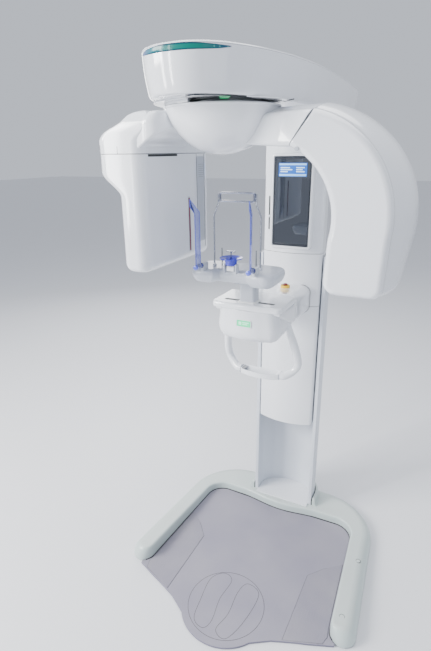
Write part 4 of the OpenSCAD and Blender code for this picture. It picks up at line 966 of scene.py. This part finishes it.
# Handles and the grip between them
HAND_PATH = [(106, 300, 1148), (109, 298, 1128), (115, 298, 1106), (124, 301, 1076), (134, 309, 1040),
             (143, 328, 985), (144, 338, 955), (137, 341, 932), (121, 335, 913), (102, 323, 901), (91, 320, 899),
             (80, 320, 899)]
hand_line = through(HAND_PATH, 5)
hand_sizes = [15 * min(1, 0.6 + 0.4 * i / 20) for i in range(len(hand_line))]
casing("handle_tubes", both(tube(hand_line, hand_sizes, 28)), "carriage", "handle", crease=60)


GRIP_HALF, GRIP_BACK, GRIP_TOP, GRIP_DISH = 79.7, 343, 908, 13


def grip_top(u, v):
    """Point of the dished grip: u runs across it and v from its bowed front to its back."""
    x = GRIP_HALF * u
    y0 = 457 - sqrt(172 ** 2 - min(abs(x), 78) ** 2)
    return x, lerp(y0, GRIP_BACK, v), GRIP_TOP - GRIP_DISH * ease(min(1, (1 - abs(u)) * 4.5)) * sin(pi * v) ** 0.6


def grip_shape(nu=48, nv=16):
    verts = [grip_top(-1 + 2 * i / nu, j / nv) for i in range(nu + 1) for j in range(nv + 1)]
    faces = [(i * (nv + 1) + j, (i + 1) * (nv + 1) + j, (i + 1) * (nv + 1) + j + 1, i * (nv + 1) + j + 1)
             for i in range(nu) for j in range(nv)]
    rim = ([i * (nv + 1) for i in range(nu + 1)] + [nu * (nv + 1) + j for j in range(1, nv + 1)]
           + [i * (nv + 1) + nv for i in range(nu - 1, -1, -1)] + [j for j in range(nv - 1, 0, -1)])
    base = len(verts)
    verts += [(verts[i][0], verts[i][1], 886) for i in rim]
    n = len(rim)
    faces += [(rim[i], rim[(i + 1) % n], base + (i + 1) % n, base + i) for i in range(n)]
    return verts, faces + [tuple(range(base, base + n))]


piece("hand_grip_dish", grip_shape(), "carriage", GRIP_WHITE, ["hand_grip"], round_edge=3.0, crease=50)
grip_joint = loft([at_x(rounded(302.5, 343.5, 885.5, 908.6, 5, 6), x) for x in (79.2, 80.4)])
piece("grip_joints", both(grip_joint), "carriage", VENT)
piece("grip_recess", stacked(lambda d: rounded(-76 + d, -61 - d, 304 + d, 338 - d, 5, 5),
                             ((0, 892), (0, 905.4), (0.8, 906))), "carriage", LEAD_GREY)


# Chin unit on its post

post = stacked(lambda d: rounded(-28 + d, 28 - d, 176 + d, 224 - d, 9, 8), ((1, 1220.5), (0, 1221.5), (0, 1316)))
seat = block((-23, 23, 118, 200, 6, 6), 1302, 1315.8)
stem = block((-6, 6, 195.5, 204.5, 2, 4), 1194, 1221)
piece("chin_post_block", joined(post, seat, stem), "chin_unit", CHIN_GREY, ["chin_post"],
      round_edge=0.6)
piece("post_foot", stacked(lambda d: rounded(-33 - d, 33 + d, 171 - d, 229 + d, 10, 8),
                           ((0, 1220.4), (0, 1223), (-1.5, 1225), (-4.5, 1226))), "chin_unit", BLOCK_WHITE,
      round_edge=0.4)


def table_outline(d):
    tip, rear = arc(108, 70, 38 - d, 270, 345, 14), arc(102, 136, 44 - d, -5, 80, 16)
    half = [(0, 62 + d), (40 + d, 62 + d), (45 + d, 60 + d), (48 + d, 56 + d), (54 + d, 38 + d), (58 + d, 33.4 + d)]
    half += tip + rear + [(60, 183 - d), (0, 184 - d)]
    return half + [(-x, y) for x, y in half[-2:0:-1]]


table = [(1316, 20), (1316.4, 17.6), (1318, 14.4), (1321.4, 10.8), (1326, 7.4), (1331.4, 4.2), (1337, 1.8),
         (1342, 0.4), (1346, 0), (1352, 0.4), (1356.4, 2), (1359.2, 4.6), (1361, 7.8), (1361.8, 11), (1362, 14)]
piece("chin_table_top", loft([at_z(table_outline(d), z) for z, d in table]), "chin_unit", CHIN_GREY, ["chin_table"],
      crease=50)
piece("table_pins", both(spun([(0, 1361), (1.9, 1361), (1.9, 1416), (2.5, 1417), (2.5, 1419.4), (0, 1420)], 20,
                              (60, 110))), "chin_unit", CAST, crease=60)
rod_path = [(80, 96, 1326), (80, 96, 1440), (80, 96, 1517), (79.4, 96, 1525), (77, 96, 1531), (69, 96, 1550),
            (65.4, 96, 1556), (63.8, 96, 1563), (63.6, 96, 1570), (63.6, 96, 1593)]
piece("head_rods", both(tube(rod_path, 2.6, 18)), "chin_unit", ROD, ["head_rods"], crease=60)
piece("rod_collars", both(spun([(2.7, 1362.2), (5.6, 1362.2), (6.2, 1363), (6.2, 1368), (5.4, 1369.4), (2.7, 1369.4)],
                               32, (80, 96))), "chin_unit", CHIN_GREY, crease=50)


band = [at_y(rounded(-61 + d, 61 - d, 1567 + d, 1597 - d, 9 - d, 10), y)
        for d, y in ((0, 88), (0, 100), (5, 100), (5, 88))]
piece("forehead_band", loft(band, loop=True), "chin_unit", CLEAR, ["forehead_loop"], round_edge=1.0)
CUP_AT = (0, 52)
cup = [(0, 1380), (14, 1380), (17.6, 1382.6), (19.6, 1393.6), (24, 1397), (34.2, 1400.6), (35.4, 1401.8),
       (35.2, 1403.4), (33.8, 1404), (17, 1397.2), (13, 1385.4), (0, 1384.6)]
piece("chin_cup_bowl", spun(through(cup, 3), 72, CUP_AT), "chin_unit", BLUE, ["chin_cup"], crease=60)
piece("cup_legs", both(block((18, 22, 42, 62, 1.2, 4), 1354, 1384.6)), "chin_unit",
      CHIN_GREY, round_edge=0.5)
piece("cup_block", block((-13, 13, 44, 74, 3, 4), 1362, 1376), "chin_unit", BLOCK_WHITE,
      round_edge=1.2)
bite = [(0, 1384), (2.2, 1384), (2.2, 1419), (3.4, 1421), (3.4, 1422.4), (0, 1422.4)]
tee = block((-16, 16, 49, 55, 2.4, 6), 1422, 1425)
piece("bite_tee", joined(spun(bite, 24, CUP_AT), tee), "chin_unit", ROD, ["bite_stick"],
      round_edge=0.5)


HINGE = (88, 0, 1378)
TOE_IN = Matrix.Rotation(radians(13), 3, "Z")
BLADE = [(-11, 1384), (11, 1384), (11, 1543), (-30, 1583), (-30, 1561), (-11, 1540)]


def blade(outline, thick):
    """Outline in depth and height, made into a sheet of the right temple strip."""
    return tilted(loft([at_x(outline, -thick), at_x(outline, thick)]), TOE_IN, (88, 0, 0))


def temple_shape():
    """Clear strip that stands beside the head, its end leaning forward, with its hinge barrel."""
    barrel = tilted(spun([(4.06, -13), (6.8, -13), (7.6, -12), (7.6, 12), (6.8, 13), (4.06, 13), (4.06, -13)], 36),
                    FACING_FRONT, HINGE)
    return joined(blade(BLADE, 1.3), barrel)


def temple_edges():
    """Darker lines where the sheet's own edges gather the light."""
    front = [(-11, 1386), (-9.8, 1386), (-9.8, 1539.6), (-28.8, 1559.6), (-28.8, 1582), (-30, 1583), (-30, 1561),
             (-11, 1540)]
    rear = [(9.8, 1386), (11, 1386), (11, 1543), (-29, 1582), (-29, 1580.2), (9.8, 1542.2)]
    return joined(blade(front, 1.42), blade(rear, 1.42))


def clamp_shape():
    pin = spun([(0, -32), (4, -32), (4, 20), (0, 20)], 28)
    ring = spun([(4, -20), (8.2, -20), (8.8, -19.2), (8.8, -14.2), (8, -13.4), (4, -13.4), (4, -20)], 36)
    return joined(tilted(pin, FACING_FRONT, HINGE), tilted(ring, FACING_FRONT, HINGE))


SIDES = (("right", Matrix.Identity(3)), ("left", Matrix.Diagonal((-1, 1, 1))))
for side, turn in SIDES:
    piece(f"{side}_temple_strip", tilted(temple_shape(), turn), "temple_" + side[0], TEMPLE, [f"temple_{side}"],
          0.5, 50)
for side, turn in SIDES:
    piece(f"{side}_strip_edges", tilted(temple_edges(), turn), "temple_" + side[0], STRIP_EDGE, crease=30)
piece("temple_knobs", both(clamp_shape()), "chin_unit", NAVY, ["temple_clamps"], round_edge=0.4,
      crease=50)
knob_cap = spun([(0, 13.4), (6.4, 13.4), (7.6, 14.2), (7.8, 19), (6.6, 20.4), (0, 20.8)], 36)
piece("temple_knob_caps", both(tilted(knob_cap, FACING_FRONT, HINGE)),
      "chin_unit", STRIP_EDGE, crease=50)
piece("temple_blocks", both(block((83, 93, 22, 58, 3, 5), 1358, 1383)), "chin_unit",
      CHIN_GREY, round_edge=1.6)


# Inner works keep their solids and get their own metals
for material, names in ((RAIL, ("guide_rails",)), (TURNED, ("guide_blocks", "bearing_outer", "bearing_inner",
                                                            "motor_pulley")),
                        (CAST, ("nut_bracket", "mast_frame", "beam_chassis", "gantry_spine")),
                        (BRONZE, ("lift_nut",)), (SCREW, ("lead_screw",)), (BELT, ("drive_belt",)),
                        (ANODISED, ("lift_motor", "drive_wheel", "drive_motor", "detector_panel")),
                        (LEAD_GREY, ("tube_head", "collimator"))):
    for name in names:
        for place in nodes[name].material_slots:
            place.material = material


# Raised studs on the tread panels, one small dome instanced over a grid

def stud_points():
    """Places on a staggered grid that lie well inside the panels' edge."""
    points = []
    for row in range(60):
        for col in range(24):
            x, y = 256 + col * 6.4 + (row % 2) * 3.2, -30 + row * 7.2
            inside = all((bx - ax) * (y - ay) - (by - ay) * (x - ax) > 5.5 * hypot(bx - ax, by - ay)
                         for (ax, ay), (bx, by) in zip(TREAD, TREAD[1:] + TREAD[:1]))
            if inside:
                points += [(x, y, TREAD_TOP), (-x, y, TREAD_TOP)]
    return points


def stud_tree(dome, material):
    tree = bpy.data.node_groups.new("tread studs", "GeometryNodeTree")
    tree.interface.new_socket("Geometry", in_out="INPUT", socket_type="NodeSocketGeometry")
    size = tree.interface.new_socket("Stud size", in_out="INPUT", socket_type="NodeSocketFloat")
    tree.interface.new_socket("Geometry", in_out="OUTPUT", socket_type="NodeSocketGeometry")
    given = tree.nodes.new("NodeGroupInput").outputs
    stud = add_node(tree, "GeometryNodeObjectInfo", {"Object": dome}).outputs["Geometry"]
    vary = add_node(tree, "FunctionNodeRandomValue", {"Seed": 7, 2: 0.9, 3: 1.0}).outputs[1]
    spread = add_node(tree, "GeometryNodeInstanceOnPoints", {
        "Points": given["Geometry"], "Instance": stud, "Scale": calc(tree, "MULTIPLY", vary, given["Stud size"])})
    real = add_node(tree, "GeometryNodeRealizeInstances", {"Geometry": spread.outputs["Instances"]})
    paint = add_node(tree, "GeometryNodeSetMaterial", {"Geometry": real.outputs["Geometry"], "Material": material})
    add_node(tree, "NodeGroupOutput", {"Geometry": paint.outputs["Geometry"]})
    return tree, size.identifier


def tread_studs():
    dome = put("stud dome", new_mesh("stud dome", *spun([(0, 0.55), (1.1, 0.4), (1.9, -0.1)], 6)))
    holder = put("stud spots", new_mesh("stud spots", stud_points(), []))
    tree, size = stud_tree(dome, MAT_TREAD)
    modifier = holder.modifiers.new("studs", "NODES")
    modifier.node_group = tree
    modifier[size] = 1.0
    ready = holder.evaluated_get(bpy.context.evaluated_depsgraph_get())
    mesh = bpy.data.meshes.new_from_object(ready)
    made = put("tread_studs", mesh)
    for spare in (holder, dome):
        bpy.data.objects.remove(spare)
    smoothed(mesh, 1e-6)
    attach(made, "base")


tread_studs()


# Room: plain pale floor and soft studio light

def area_light(name, place, aim, size, power_w, color=(1, 1, 1)):
    light = bpy.data.lights.new(name, "AREA")
    light.shape = "RECTANGLE"
    light.size, light.size_y = size
    light.energy = power_w
    light.color = color
    lamp = put(name, light)
    lamp.location = place
    lamp.rotation_euler = (Vector(aim) - Vector(place)).to_track_quat("-Z", "Y").to_euler()


FLOOR = 30000
floor = put("floor", new_mesh("floor", at_z([(-FLOOR, -FLOOR), (FLOOR, -FLOOR), (FLOOR, FLOOR), (-FLOOR, FLOOR)], -1),
                              [(0, 1, 2, 3)]))
floor.data.materials.append(moulded("studio floor", (0.74, 0.75, 0.78), (0.72, 0.73, 0.76), (0.4, 0.5), dust=0.0,
                                    peel=0.0))
area_light("key", (-2.8, -2.0, 2.7), (0, 0.1, 1.3), (1.6, 1.6), 250, (1.0, 0.985, 0.96))
area_light("fill", (3.2, -1.6, 2.0), (0.1, 0.3, 1.1), (2.4, 2.4), 22, (0.93, 0.96, 1.0))
area_light("top", (0.2, 0.6, 4.2), (0, 0.3, 1.0), (3.2, 3.2), 130)
area_light("back", (-2.6, 3.4, 2.4), (0, 0.4, 1.1), (2.0, 2.0), 60)
area_light("tall window", (-2.3, -2.5, 2.0), (0, 0, 1.7), (0.34, 1.9), 60)
area_light("narrow window", (-1.6, -3.0, 2.0), (0, 0, 1.7), (0.14, 1.9), 35)
world = bpy.data.worlds.new("studio")
world.use_nodes = True
world.node_tree.nodes["Background"].inputs["Color"].default_value = (0.80, 0.85, 0.95, 1)
world.node_tree.nodes["Background"].inputs["Strength"].default_value = 0.82
bpy.context.scene.world = world

# The photograph's own camera: its focal length in pixels, on a picture 651 pixels high
FOCAL, HIGH, SENSOR = 475, 651, 36
lens = bpy.data.cameras.new("camera")
lens.sensor_width = SENSOR
lens.lens = FOCAL * SENSOR / HIGH
lens.dof.use_dof = False
camera = put("camera", lens)
camera.matrix_world = (Matrix.Translation((0.624, -1.263, 1.71)) @ Matrix.Rotation(radians(27.4), 4, "Z")
                       @ Matrix.Rotation(radians(70), 4, "X") @ Matrix.Rotation(radians(-0.77), 4, "Z"))
bpy.context.scene.camera = camera
